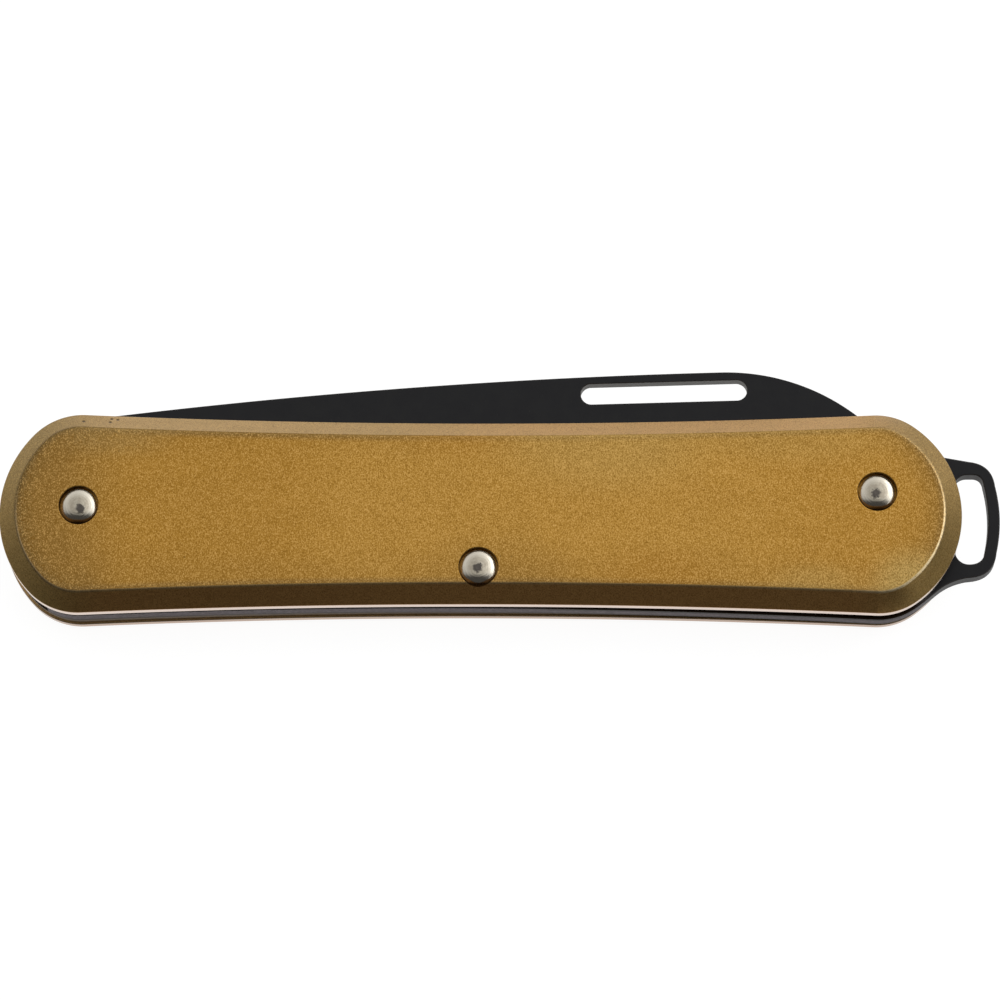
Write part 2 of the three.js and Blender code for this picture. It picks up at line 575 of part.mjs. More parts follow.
const anodised = () =>
  new THREE.MeshStandardMaterial({ color: 0xa87a38, roughness: 0.55, metalness: 0.85 });
const blackCoating = () =>
  new THREE.MeshStandardMaterial({ color: 0x222222, roughness: 0.6, metalness: 0.3 });
const polishedSteel = () =>
  new THREE.MeshStandardMaterial({ color: 0xcfccc4, roughness: 0.18, metalness: 1 });
const darkSteel = () =>
  new THREE.MeshStandardMaterial({ color: 0x2a2723, roughness: 0.5, metalness: 0.8 });
const bronze = () =>
  new THREE.MeshStandardMaterial({ color: 0xa9794a, roughness: 0.35, metalness: 1 });

const knife = new THREE.Group();
const handle = new THREE.Group();
const pivotStack = new THREE.Group();
pivotStack.position.set(PIVOT.x, PIVOT.y, MID_Z);
knife.add(handle, pivotStack);

// The rear scale is the front one's mirror image.
const scale = scaleSolid();
const frontScale = pieceOf("front_scale", geometryOf(scale), anodised());
frontScale.position.z = FRONT_SCALE_Z;
const rearScale = pieceOf("rear_scale", geometryOf(scale.mirror([0, 0, 1])), anodised());
rearScale.position.z = SCALE_THICKNESS;
handle.add(frontScale, rearScale);

for (const [name, height] of [["rear_liner", REAR_LINER_Z], ["front_liner", FRONT_LINER_Z]]) {
  const liner = pieceOf(name, linerGeometry(), darkSteel());
  liner.position.z = height;
  handle.add(liner);
}

const backspring = pieceOf("backspring", springGeometry(), blackCoating());
backspring.position.z = SPRING_Z;
handle.add(backspring);

for (const [name, at] of [
  ["pivot_rivet", PIVOT],
  ["middle_rivet", MIDDLE_RIVET],
  ["tail_rivet", TAIL_RIVET],
]) {
  const rivet = pieceOf(name, rivetGeometry(), polishedSteel());
  rivet.position.set(at.x, at.y, MID_Z);
  handle.add(rivet);
}

const bushing = pieceOf("pivot_bushing",
  ringGeometry(PIN_HOLE, BUSHING_RADIUS, SPRING_THICKNESS), polishedSteel());
bushing.position.z = -SPRING_THICKNESS / 2;
pivotStack.add(bushing);

const washerBore = BUSHING_RADIUS + RUNNING_CLEARANCE;
const washerRim = TANG_RADIUS - WASHER_SETBACK;
for (const [name, height] of [
  ["rear_pivot_washer", -SPRING_THICKNESS / 2],
  ["front_pivot_washer", SPRING_THICKNESS / 2 - WASHER_THICKNESS],
]) {
  const washer = pieceOf(name, ringGeometry(washerBore, washerRim, WASHER_THICKNESS), bronze());
  washer.position.z = height;
  pivotStack.add(washer);
}

pivotStack.add(pieceOf("blade", bladeGeometry(), blackCoating()));

export default knife;
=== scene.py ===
# %% [markdown]
# # A folding pocket knife, dressed for its picture
#
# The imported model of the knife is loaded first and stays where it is: it is the frame that
# everything here is built round. Its solids are right but made of few flat facets, so this file
# builds a finer skin for each piece that shows, gives every piece the finish of the real metal,
# and then sets up the table, the light and the camera. Lengths are in millimetres while a shape
# is worked out, and in metres once it is a mesh.

import json
from types import SimpleNamespace

import bmesh
import bpy
import numpy as np
from mathutils import Matrix, Vector
from mathutils.geometry import tessellate_polygon


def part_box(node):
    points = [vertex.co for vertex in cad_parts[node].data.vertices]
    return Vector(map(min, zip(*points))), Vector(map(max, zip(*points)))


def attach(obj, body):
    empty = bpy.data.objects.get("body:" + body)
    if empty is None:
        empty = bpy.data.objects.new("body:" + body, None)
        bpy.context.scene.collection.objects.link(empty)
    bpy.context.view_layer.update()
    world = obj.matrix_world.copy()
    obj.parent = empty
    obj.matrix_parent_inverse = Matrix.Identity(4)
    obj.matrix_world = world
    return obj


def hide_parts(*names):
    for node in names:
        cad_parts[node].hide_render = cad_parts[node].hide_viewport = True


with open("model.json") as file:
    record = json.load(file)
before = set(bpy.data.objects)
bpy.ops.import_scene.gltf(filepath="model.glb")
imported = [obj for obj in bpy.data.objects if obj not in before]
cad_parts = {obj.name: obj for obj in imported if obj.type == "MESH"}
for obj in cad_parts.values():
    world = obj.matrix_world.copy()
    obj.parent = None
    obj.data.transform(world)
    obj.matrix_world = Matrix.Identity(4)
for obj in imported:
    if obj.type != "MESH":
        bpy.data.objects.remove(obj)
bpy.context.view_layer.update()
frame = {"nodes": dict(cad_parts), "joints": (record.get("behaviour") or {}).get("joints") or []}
MM = 0.001


# %% [markdown]
# ## Places that the frame gives
#
# Where a piece of the frame already says where something is, its box is read instead of typing
# the number again: the rivets' centres, the layers of the handle and the pivot. What a box can't
# say, such as the radius of a shoulder, is a named size further down, next to the shape it drives.

# %% Boxes and centres in millimetres
def box(node):
    """Lowest and highest corner of a CAD node, in millimetres."""
    low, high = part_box(node)
    return np.array(low) / MM, np.array(high) / MM


def centre(node):
    """Middle of a CAD node's box, in millimetres."""
    low, high = box(node)
    return (low + high) / 2


SCALE_LOW, SCALE_HIGH = box("front_scale")
HALF_LENGTH = SCALE_HIGH[0]
TOP = SCALE_HIGH[2]
MID_Z = TOP / 2
SCALE_THICKNESS = TOP - SCALE_LOW[2]
PIVOT, MIDDLE_RIVET, TAIL_RIVET = (centre(n)[:2] for n in ("pivot_rivet", "middle_rivet", "tail_rivet"))
HEAD_RADIUS = (box("tail_rivet")[1] - box("tail_rivet")[0])[0] / 2
print("pivot, middle rivet and tail rivet in mm:", PIVOT.round(2), MIDDLE_RIVET.round(2), TAIL_RIVET.round(2))


# %% [markdown]
# ## Curves as rows of points
#
# Every flat piece of the knife is an outline with some thickness. An outline is a ring of points:
# arcs and Bezier curves are worked out as whole arrays, and each leaves its last point to the curve
# that follows, so that they can simply be stacked.

# %% Arcs, Bezier curves and rings
def arc(centre, radius, start, end, steps=24):
    """Points on a circle: the centre plus the radius times the cosine and sine of an angle that
    runs evenly from start to end."""
    turn = np.linspace(start, end, steps, endpoint=False)[:, None]
    return np.asarray(centre) + radius * np.hstack([np.cos(turn), np.sin(turn)])


def bezier(points, steps=24):
    """A Bezier curve: its control points are joined by lines, and each pass replaces neighbours by
    the point that lies the share t between them, until one point is left for every t."""
    t = np.linspace(0, 1, steps, endpoint=False)[:, None]
    rows = [np.asarray(p, float) + 0 * t for p in points]
    while len(rows) > 1:
        rows = [a + t * (b - a) for a, b in zip(rows, rows[1:])]
    return rows[0]


def ring(*curves):
    """Curves and single points stacked into one closed ring, without points that coincide."""
    points = np.vstack([np.atleast_2d(c) for c in curves])
    gap = np.linalg.norm(points - np.roll(points, -1, axis=0), axis=1)
    return points[gap > 1e-5]


def hole(centre, radius, steps=96):
    """A round hole, walked clockwise so that the metal lies on its left."""
    return arc(centre, radius, 2 * np.pi, 0, steps)


def inset(points, distance):
    """The ring moved to its left by a distance: each point goes along the sum of its two edges'
    normals, stretched so that both edges end up at that distance."""
    edge = np.roll(points, -1, axis=0) - points
    edge /= np.linalg.norm(edge, axis=1)[:, None]
    normal = np.column_stack([-edge[:, 1], edge[:, 0]])
    before = np.roll(normal, 1, axis=0)
    share = 1 + (normal * before).sum(axis=1)
    return points + distance * (normal + before) / share[:, None]


def turn_from(centre, point):
    return np.arctan2(point[1] - centre[1], point[0] - centre[0])


def circles_meet(a, ra, b, rb):
    """The point that lies ra from a and rb from b, on the right of the way from a to b."""
    a, b = np.asarray(a, float), np.asarray(b, float)
    way = b - a
    distance = np.hypot(*way)
    along = (ra * ra - rb * rb + distance * distance) / (2 * distance)
    aside = np.sqrt(max(ra * ra - along * along, 0))
    way /= distance
    return a + along * way + aside * np.array([way[1], -way[0]])


# %% [markdown]
# ## From curves to meshes
#
# Two ways of making a surface are enough for the whole knife. A section can be carried round a
# ring, which gives the walls, bevels and broken edges of every flat piece. And a profile can be
# turned about an upright axis, which gives rivets and the tools that bore holes. Both are grids of
# points, so one function turns a grid into quads. Flat faces between rings are filled last.

# %% Grids, flat faces and meshes
def grid_faces(rows, columns, first=0):
    """Quads of a grid whose columns close into a ring: each joins two neighbours of one row to the
    same two of the next row."""
    here = first + np.arange(rows * columns).reshape(rows, columns)
    beside = np.roll(here, -1, axis=1)
    return np.stack([here[:-1], beside[:-1], beside[1:], here[1:]], axis=-1).reshape(-1, 4)


def mesh_object(name, points, faces):
    """A mesh object from points in millimetres."""
    mesh = bpy.data.meshes.new(name)
    mesh.from_pydata((np.asarray(points) * MM).tolist(), [], [list(map(int, f)) for f in faces])
    mesh.validate()
    made = bpy.data.objects.new(name, mesh)
    bpy.context.scene.collection.objects.link(made)
    return made


def carried(outline, profile):
    """A section of (inset, height) pairs carried round a ring, as rows of points."""
    return np.array([np.column_stack([inset(outline, d), np.full(len(outline), z)]) for d, z in profile])


def plate(name, outlines, profiles):
    """A flat piece: each ring carries its own profile from the lower to the upper flat face, and
    both faces are filled between the rings."""
    points, faces, lower, upper = [], [], [], []
    start = 0
    for outline, profile in zip(outlines, profiles):
        rows = carried(outline, profile)
        count = rows.shape[1]
        points.append(rows.reshape(-1, 3))
        faces.extend(grid_faces(len(rows), count, start))
        lower.append(start + np.arange(count))
        upper.append(start + (len(rows) - 1) * count + np.arange(count))
        start += rows.shape[0] * count
    points = np.vstack(points)
    for rims, up in ((lower, False), (upper, True)):
        numbers = np.concatenate(rims)
        fill = np.array(tessellate_polygon([[Vector(p) for p in points[rim]] for rim in rims]))
        a, b, c = (points[numbers[fill[:, k]]][:, :2] for k in range(3))
        area = (b[:, 0] - a[:, 0]) * (c[:, 1] - a[:, 1]) - (b[:, 1] - a[:, 1]) * (c[:, 0] - a[:, 0])
        wrong = (area > 0) != up
        fill[wrong] = fill[wrong][:, ::-1]
        faces.extend(numbers[fill[np.abs(area) > 1e-9]])
    return mesh_object(name, points, faces)


def turned(name, profile, at, steps=96):
    """A profile of (radius, height) pairs turned about an upright axis: each ring of the grid is
    the radius times the cosine and sine of an even angle. Where the profile meets the axis its
    ring is one point."""
    turn = np.linspace(0, 2 * np.pi, steps, endpoint=False)
    radius, height = np.asarray(profile, float).T
    x = at[0] + radius[:, None] * np.cos(turn)
    y = at[1] + radius[:, None] * np.sin(turn)
    z = np.broadcast_to(height[:, None], x.shape)
    made = mesh_object(name, np.stack([x, y, z], axis=-1).reshape(-1, 3), grid_faces(len(radius), steps))
    joined(made)
    return made


def joined(piece):
    """Merges the points of a mesh that coincide, and drops faces that had no area."""
    work = bmesh.new()
    work.from_mesh(piece.data)
    bmesh.ops.remove_doubles(work, verts=work.verts, dist=1e-4 * MM)
    bmesh.ops.dissolve_degenerate(work, edges=work.edges, dist=1e-5 * MM)
    work.to_mesh(piece.data)
    work.free()


def cut(piece, tools):
    """Cuts the tools out of a piece, one after another, and throws them away."""
    for tool in tools:
        step = piece.modifiers.new("cut", "BOOLEAN")
        step.operation = "DIFFERENCE"
        step.solver = "EXACT"
        step.object = tool
    bpy.context.view_layer.update()
    shaped = bpy.data.meshes.new_from_object(piece.evaluated_get(bpy.context.evaluated_depsgraph_get()))
    piece.modifiers.clear()
    piece.data = shaped
    for tool in tools:
        bpy.data.objects.remove(tool)


def finished(piece, body, nodes, sharp=30):
    """Shades a piece smooth between edges that bend by less than a limit, keeps its large faces
    flat, hangs the piece on its body's empty and hides the imported nodes that it stands for."""
    piece.data.shade_smooth()
    piece.data.set_sharp_from_angle(angle=np.radians(sharp))
    flat = piece.modifiers.new("flat faces", "WEIGHTED_NORMAL")
    flat.keep_sharp = True
    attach(piece, body)
    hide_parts(*nodes)
    size = np.array(piece.dimensions) / MM
    print(f"{piece.name}: {len(piece.data.polygons)} faces, {size.round(2)} mm")
    return piece


# %% [markdown]
# ## The handle's outline
#
# Seen from the front, the handle is a bar whose long sides draw in to a waist and whose ends are
# round. Each quarter is three arcs that touch without a corner: the long hollow side, a small
# shoulder and the large end arc. The shoulder's centre is where two circles meet, one round the
# end arc's centre and one round the side's, so the arcs always touch.

# %% Four quarters of arcs
WAIST_HEIGHT = 21.1
WAIST_SAG = 1.0
SHOULDER_INSET = 9.4
PIVOT_END_FULLNESS, TAIL_END_FULLNESS = 1.85, 0.95
PIVOT_SHOULDER_RADIUS, TAIL_SHOULDER_RADIUS = 7.5, 7.15
HALF_WAIST = WAIST_HEIGHT / 2
SIDE_SPAN = HALF_LENGTH - SHOULDER_INSET
SIDE_RADIUS = (SIDE_SPAN**2 + WAIST_SAG**2) / (2 * WAIST_SAG)


def quarter(side, up, fullness, shoulder_radius):
    """The circles of one quarter of the outline, and the angles where they touch."""
    end_radius = HALF_WAIST + WAIST_SAG + fullness
    tuck = np.array([side, up])
    hollow = np.array([0, HALF_WAIST + SIDE_RADIUS])
    end = np.array([HALF_LENGTH - end_radius, 0])
    shoulder = circles_meet(end, end_radius - shoulder_radius, hollow, SIDE_RADIUS + shoulder_radius)
    tan_end = (shoulder - end)[1] / (shoulder - end)[0]
    hollow, end, shoulder = hollow * tuck, end * tuck, shoulder * tuck
    return dict(
        hollow=hollow, end=end, shoulder=shoulder, end_radius=end_radius, radius=shoulder_radius,
        tan_end=tan_end, end_turn=turn_from(end, shoulder), side_turn=turn_from(shoulder, hollow),
    )


TAIL_UPPER, TAIL_LOWER = (quarter(1, up, TAIL_END_FULLNESS, TAIL_SHOULDER_RADIUS) for up in (1, -1))
PIVOT_UPPER, PIVOT_LOWER = (quarter(-1, up, PIVOT_END_FULLNESS, PIVOT_SHOULDER_RADIUS) for up in (1, -1))


def handle_ring():
    """The outline, counterclockwise from the foot of the tail end."""
    a, b, c, d = TAIL_UPPER, PIVOT_UPPER, PIVOT_LOWER, TAIL_LOWER
    full = 2 * np.pi
    return ring(
        arc(a["end"], a["end_radius"], d["end_turn"], a["end_turn"], 48),
        arc(a["shoulder"], a["radius"], a["end_turn"], a["side_turn"]),
        arc(a["hollow"], SIDE_RADIUS, a["side_turn"] - np.pi, b["side_turn"] - np.pi, 48),
        arc(b["shoulder"], b["radius"], b["side_turn"], b["end_turn"]),
        arc(b["end"], b["end_radius"], b["end_turn"], c["end_turn"] + full, 48),
        arc(c["shoulder"], c["radius"], c["end_turn"] + full, c["side_turn"] + full),
        arc(c["hollow"], SIDE_RADIUS, c["side_turn"] + np.pi, d["side_turn"] + np.pi, 48),
        arc(d["shoulder"], d["radius"], d["side_turn"], d["end_turn"]),
    )


HANDLE = handle_ring()
print("handle outline:", len(HANDLE), "points,", np.ptp(HANDLE, axis=0).round(2), "mm")


# %% [markdown]
# ## The scales
#
# The two covers of the handle are milled from metal plate: an upright wall, a wide bevel all round
# and a flat outer face, with a stepped bore for each rivet. Their section is carried round the
# outline, and the bores are cut out of it with turned tools, as on the real part. The middle bore
# runs out over the lower bevel, which is why it is cut and not drawn into the flat face.

# %% Section of the rim and the stepped bores
SCALE_WALL = 1.05
BEVEL_WIDTH, BEVEL_DEPTH = 2.06, 1.85
BEVEL_ROUNDING, WALL_ROUNDING = 0.25, 0.08
EDGE_BREAK = 0.1
PIN_HOLE = 1.25
RECESS_GAP = 0.34
RECESS_RADIUS = HEAD_RADIUS + RECESS_GAP
RECESS_DEPTH = 1.15
RECESS_ROUNDING = 0.12


def rim_profile():
    """Inset and height from the inner face over the wall and the bevel to the outer face. Both
    edges of the bevel are short Bezier curves."""
    soft, crisp = BEVEL_ROUNDING, WALL_ROUNDING
    slant = np.array([BEVEL_WIDTH, BEVEL_DEPTH])
    slant /= np.hypot(*slant)
    foot, brow = np.array([0, SCALE_WALL]), np.array([BEVEL_WIDTH, SCALE_THICKNESS])
    return np.vstack([
        [[EDGE_BREAK, 0], [0, EDGE_BREAK]],
        bezier([foot - [0, crisp], foot, foot + crisp * slant], 6),
        bezier([brow - soft * slant, brow, brow + [soft, 0]], 8),
        [brow + [soft, 0]],
    ])


def bore_tool(at):
    """The tool that bores one rivet's hole and recess, its inner face at height 0."""
    seat = SCALE_THICKNESS - RECESS_DEPTH
    mouth = RECESS_RADIUS + RECESS_ROUNDING
    above = SCALE_THICKNESS + 1
    rounding = arc((mouth, SCALE_THICKNESS - RECESS_ROUNDING), RECESS_ROUNDING, np.pi, np.pi / 2, 5)
    profile = np.vstack([
        [[0, -1], [PIN_HOLE, -1], [PIN_HOLE, seat], [RECESS_RADIUS, seat]],
        rounding,
        [[mouth, SCALE_THICKNESS], [mouth, above], [0, above]],
    ])
    return turned("bore", profile, at)


# %% Front and rear scale
def scale(name, node, front):
    """A scale with its inner face on the liner. The rear one is the front one mirrored in height,
    so its faces are turned round once more."""
    piece = plate(name, [HANDLE], [rim_profile()])
    cut(piece, [bore_tool(at) for at in (PIVOT, MIDDLE_RIVET, TAIL_RIVET)])
    count = len(piece.data.vertices)
    place = np.empty(count * 3, np.float32)
    piece.data.vertices.foreach_get("co", place)
    place = place.reshape(-1, 3)
    inner = (TOP - SCALE_THICKNESS) * MM if front else SCALE_THICKNESS * MM
    place[:, 2] = inner + place[:, 2] * (1 if front else -1)
    piece.data.vertices.foreach_set("co", place.ravel())
    if not front:
        piece.data.flip_normals()
    return finished(piece, "handle", [node])


front_scale = scale("front_scale_skin", "front_scale", True)
rear_scale = scale("rear_scale_skin", "rear_scale", False)


# %% [markdown]
# ## The liners
#
# Two thin plates line the scales and stand a little back from their edge, so only a dark line of
# each shows. They are plain plates with a broken edge and a hole for each pin.

# %% Front and rear liner
LINER_INSET, LINER_EDGE_BREAK = 0.25, 0.06


def straight_edge(low, high, chamfer):
    """Section of a plate's rim with a small chamfer at both faces."""
    return [(chamfer, low), (0, low + chamfer), (0, high - chamfer), (chamfer, high)]


def liner(name, node):
    low, high = box(node)[0][2], box(node)[1][2]
    outlines = [inset(HANDLE, LINER_INSET)]
    outlines += [hole(at, PIN_HOLE) for at in (PIVOT, MIDDLE_RIVET, TAIL_RIVET)]
    profile = straight_edge(low, high, LINER_EDGE_BREAK)
    return finished(plate(name, outlines, [profile] * 4), "handle", [node])


front_liner = liner("front_liner_plate", "front_liner")
rear_liner = liner("rear_liner_plate", "rear_liner")


# %% [markdown]
# ## The backspring and its loop
#
# One piece of black coated steel is the knife's back, the spring under the tang and the lanyard
# loop. Its outline follows the handle's back edge, a little inside it at the pivot end and a little
# outside it at the tail, goes round the loop, and comes home over a boss at each rivet.

# %% Outline of the backspring
SPRING_OVERHANG = 3.6
SPRING_WAIST, SPRING_EDGE_BREAK = 3.9, 0.12
SPRING_RECESS, SPRING_MID_RECESS, SPRING_PROUD = 0.22, 0.12, 0.16
SEAT_LENGTH = 9.0
SEAT_CLEARANCE = 0.1
MIDDLE_BOSS, TAIL_BOSS = 2.6, 2.9
TAIL_RISE_LENGTH = 11.0
LOOP_REACH, LOOP_UPPER, LOOP_LOWER = 4.4, 6.7, 6.82
LOOP_CORNER, LOOP_BOW = 2.85, 0.45
LOOP_WALL, LOOP_SIDE_WALL = 1.3, 1.55
LOOP_UPPER_SLOPE, LOOP_UPPER_ROOT = 0.18, 3.0
LOOP_LOWER_SLOPE, LOOP_LOWER_ROOT = 0.19, 0.8
LOOP_OUTER = HALF_LENGTH + LOOP_REACH - LOOP_BOW
LOOP_HEEL = LOOP_OUTER - LOOP_CORNER
ROOT_X = HALF_LENGTH - LOOP_UPPER_ROOT
LOOP_ROOT = (ROOT_X, LOOP_UPPER + LOOP_UPPER_SLOPE * (LOOP_HEEL - ROOT_X))
EYE_INSET, EYE_CORNER, EYE_UPPER_CORNER = 0.7, 1.55, 1.2
TANG_RADIUS = 5.6
JOIN = 0.45
LEAN = 0.1


def on_circle(centre, radius, turn):
    return np.asarray(centre) + radius * np.array([np.cos(turn), np.sin(turn)])


def circle_through(a, b, c):
    """Centre and radius of the circle through three points."""
    p, q = np.subtract(b, a), np.subtract(c, a)
    cross = 2 * (p[0] * q[1] - p[1] * q[0])
    offset = np.array([q[1] * (p @ p) - p[1] * (q @ q), p[0] * (q @ q) - q[0] * (p @ p)]) / cross
    return np.asarray(a) + offset, np.hypot(*offset)


def back_curves(seat, free_end):
    """From the free end along the back to the root of the loop: shoulder arc, a long arc through
    three points, shoulder arc and a short curve that levels out."""
    near, far = PIVOT_LOWER, TAIL_LOWER
    heel_radius = near["radius"] - SPRING_RECESS
    tail_radius = far["radius"] + SPRING_PROUD
    start = on_circle(near["shoulder"], heel_radius, near["side_turn"])
    end = on_circle(far["shoulder"], tail_radius, far["side_turn"])
    middle, radius = circle_through(start, (0, SPRING_MID_RECESS - HALF_WAIST), end)
    heel_turn = -np.arccos((free_end - near["shoulder"][0]) / heel_radius)
    root = on_circle(far["shoulder"], tail_radius, far["end_turn"])
    heading = np.array([-np.sin(far["end_turn"]), np.cos(far["end_turn"])])
    level = np.array([HALF_LENGTH + LOOP_LOWER_ROOT, -LOOP_LOWER])
    reach = JOIN * np.hypot(*(level - root))
    return [
        (free_end, seat),
        arc(near["shoulder"], heel_radius, heel_turn, near["side_turn"]),
        arc(middle, radius, turn_from(middle, start), turn_from(middle, end), 64),
        arc(far["shoulder"], tail_radius, far["side_turn"], far["end_turn"]),
        bezier([root, root + reach * heading, level - reach * np.array([1, LOOP_LOWER_SLOPE]), level]),
    ]


def loop_curves():
    """The outside of the loop, walked upwards, and its upper side back into the handle."""
    outer, heel, lean = LOOP_OUTER, LOOP_HEEL, LEAN * LOOP_CORNER
    low, high = -LOOP_LOWER, LOOP_UPPER
    return [
        bezier([(heel, low), (outer - lean, low + lean), (outer, low + LOOP_CORNER)]),
        bezier([(outer, low + LOOP_CORNER), (outer + 2 * LOOP_BOW, 0), (outer, high - LOOP_CORNER)]),
        bezier([(outer, high - LOOP_CORNER), (outer - lean, high - lean), (heel, high)]),
        (heel, high),
        LOOP_ROOT,
    ]


def inner_curves(seat):
    """Home along the inner edge: tail boss, floor, middle boss, the slim limb and the seat."""
    boss_turn, fall_turn = np.pi / 3, 0.75 * np.pi
    hollow = on_circle(TAIL_RIVET, TAIL_BOSS / np.cos(boss_turn / 2), boss_turn / 2)
    floor = MIDDLE_RIVET[1] + MIDDLE_BOSS
    boss_end = on_circle(TAIL_RIVET, TAIL_BOSS, fall_turn)
    floor_start = boss_end[0] - TAIL_RISE_LENGTH
    pull = JOIN * TAIL_RISE_LENGTH
    foot = on_circle(MIDDLE_RIVET, MIDDLE_BOSS, fall_turn)
    seat_end = PIVOT[0] + SEAT_LENGTH
    limb, limb_x = SPRING_WAIST - HALF_WAIST, (foot[0] + seat_end) / 2
    sweep, dip = JOIN * (foot[0] - limb_x), JOIN * (foot[1] - limb)
    return [
        bezier([LOOP_ROOT, hollow, on_circle(TAIL_RIVET, TAIL_BOSS, boss_turn)]),
        arc(TAIL_RIVET, TAIL_BOSS, boss_turn, fall_turn),
        bezier([boss_end, boss_end - pull * np.sqrt(0.5), (floor_start + pull, floor), (floor_start, floor)]),
        (floor_start, floor),
        arc(MIDDLE_RIVET, MIDDLE_BOSS, np.pi / 2, fall_turn),
        bezier([foot, foot - dip, (limb_x + sweep, limb), (limb_x, limb)]),
        bezier([(limb_x, limb), (limb_x - sweep, limb), (seat_end + sweep, seat), (seat_end, seat)]),
        (seat_end, seat),
    ]


def eye_ring():
    """The eye of the loop, clockwise, with a wall's thickness left all round."""
    left = HALF_LENGTH - EYE_INSET
    right = LOOP_OUTER - LOOP_WALL
    top, bottom = LOOP_UPPER - LOOP_SIDE_WALL, LOOP_SIDE_WALL - LOOP_LOWER
    c, tight = EYE_CORNER, EYE_UPPER_CORNER
    return ring(
        arc((left + c, top - c), c, np.pi, np.pi / 2),
        (left + c, top),
        bezier([(right - tight, top), (right - LEAN * tight, top), (right, top - tight)]),
        bezier([(right, top - tight), (right + 2 * LOOP_BOW, 0), (right, bottom + c)]),
        bezier([(right, bottom + c), (right - LEAN * c, bottom), (left + c, bottom)]),
        arc((left + c, bottom + c), c, -np.pi / 2, -np.pi),
        (left, bottom + c),
    )


# %% The backspring
def backspring_piece():
    low, high = box("backspring")[0][2], box("backspring")[1][2]
    seat = PIVOT[1] - TANG_RADIUS - SEAT_CLEARANCE
    free_end = PIVOT[0] - SPRING_OVERHANG
    outline = ring(*back_curves(seat, free_end), *loop_curves(), *inner_curves(seat))
    outlines = [outline, hole(MIDDLE_RIVET, PIN_HOLE), hole(TAIL_RIVET, PIN_HOLE), eye_ring()]
    made = plate("backspring_with_loop", outlines, [straight_edge(low, high, SPRING_EDGE_BREAK)] * 4)
    return finished(made, "handle", ["backspring"])


backspring = backspring_piece()


# %% [markdown]
# ## The blade
#
# The blade is a plate too: a straight cutting edge, a long flat spine that bends down in one nose
# arc to the tip, a slot to open it by, and a round tang with a hole for the bushing. The grinding
# wheel then takes a wedge off each side. That wedge is a height over a grid: along the edge and up
# from it, it says how far from the blade's middle plane the metal ends.

# %% Outline of the blade
KICK_LENGTH, KICK_HEIGHT, CHOIL_RADIUS = 7.0, 1.15, 1.1
TIP_SETBACK = 6.1
EDGE_CLEARANCE = 0.7
SPINE_RISE, SPINE_RADIUS, SPINE_CROWN = 11.22, 700.0, 91.0
NOSE_RADIUS = 23.5
SLOT_LENGTH, SLOT_RADIUS, SLOT_FROM_TIP = 16.43, 1.21, 18.96
SLOT_BAND, SLOT_TIP_BAND = 0.85, 0.97
BUSHING_CLEARANCE = 0.05
OPEN_TURN = np.radians(frame["joints"][0]["range_deg"][1])
BUSHING_BORE = (box("pivot_bushing")[1] - box("pivot_bushing")[0])[0] / 2 + BUSHING_CLEARANCE

SPINE_CENTRE = np.array([SPINE_CROWN, SPINE_RISE - np.sqrt(SPINE_RADIUS**2 - SPINE_CROWN**2)])
HEEL = np.array([KICK_LENGTH + 2 * CHOIL_RADIUS, KICK_HEIGHT - TANG_RADIUS])
BOSS_WAY = TAIL_RIVET - PIVOT - HEEL
EDGE_TURN = np.arctan2(BOSS_WAY[1], BOSS_WAY[0])
EDGE_TURN += np.arcsin((TAIL_BOSS + EDGE_CLEARANCE) / np.hypot(*BOSS_WAY))
TIP_X = HALF_LENGTH - TIP_SETBACK - PIVOT[0]
TIP = np.array([TIP_X, HEEL[1] + (TIP_X - HEEL[0]) * np.tan(EDGE_TURN)])
NOSE_CENTRE = circles_meet(TIP, NOSE_RADIUS, SPINE_CENTRE, SPINE_RADIUS - NOSE_RADIUS)


def spine_height(x):
    return SPINE_CENTRE[1] + np.sqrt(SPINE_RADIUS**2 - (x - SPINE_CENTRE[0]) ** 2)


def when_closed(x, y):
    """A point of the open blade, from the pivot, where it lies when the blade is closed."""
    c, s = np.cos(-OPEN_TURN), np.sin(-OPEN_TURN)
    return np.array([c * x - s * y, s * x + c * y])


def blade_ring():
    crown = turn_from(SPINE_CENTRE, NOSE_CENTRE)
    stop = -SPRING_OVERHANG - SEAT_CLEARANCE
    foot = when_closed(stop, -TANG_RADIUS)
    way = foot - when_closed(stop, 0)
    way /= np.hypot(*way)
    shoulder = foot + way * (spine_height(foot[0]) - foot[1]) / way[1]
    return ring(
        arc(NOSE_CENTRE, NOSE_RADIUS, turn_from(NOSE_CENTRE, TIP), crown, 64),
        arc(SPINE_CENTRE, SPINE_RADIUS, crown, turn_from(SPINE_CENTRE, shoulder), 64),
        shoulder,
        foot,
        arc((0, 0), TANG_RADIUS, 1.5 * np.pi - OPEN_TURN, 1.5 * np.pi, 96),
        (0, -TANG_RADIUS),
        (KICK_LENGTH, -TANG_RADIUS),
        arc((KICK_LENGTH + CHOIL_RADIUS, HEEL[1]), CHOIL_RADIUS, np.pi, 0, 32),
        HEEL,
    )


def slot_ring():
    """The slot under the spine, clockwise: two half circles. The band of metal over it widens a
    little towards the tip."""
    front = TIP[0] - SLOT_FROM_TIP
    a, b = (
        np.array([x, spine_height(x) - band - SLOT_RADIUS])
        for x, band in ((front - SLOT_LENGTH, SLOT_BAND), (front, SLOT_TIP_BAND))
    )
    turn = turn_from(a, b)
    return ring(
        arc(a, SLOT_RADIUS, turn - np.pi / 2, turn - 1.5 * np.pi, 32),
        arc(b, SLOT_RADIUS, turn + np.pi / 2, turn - np.pi / 2, 32),
    )


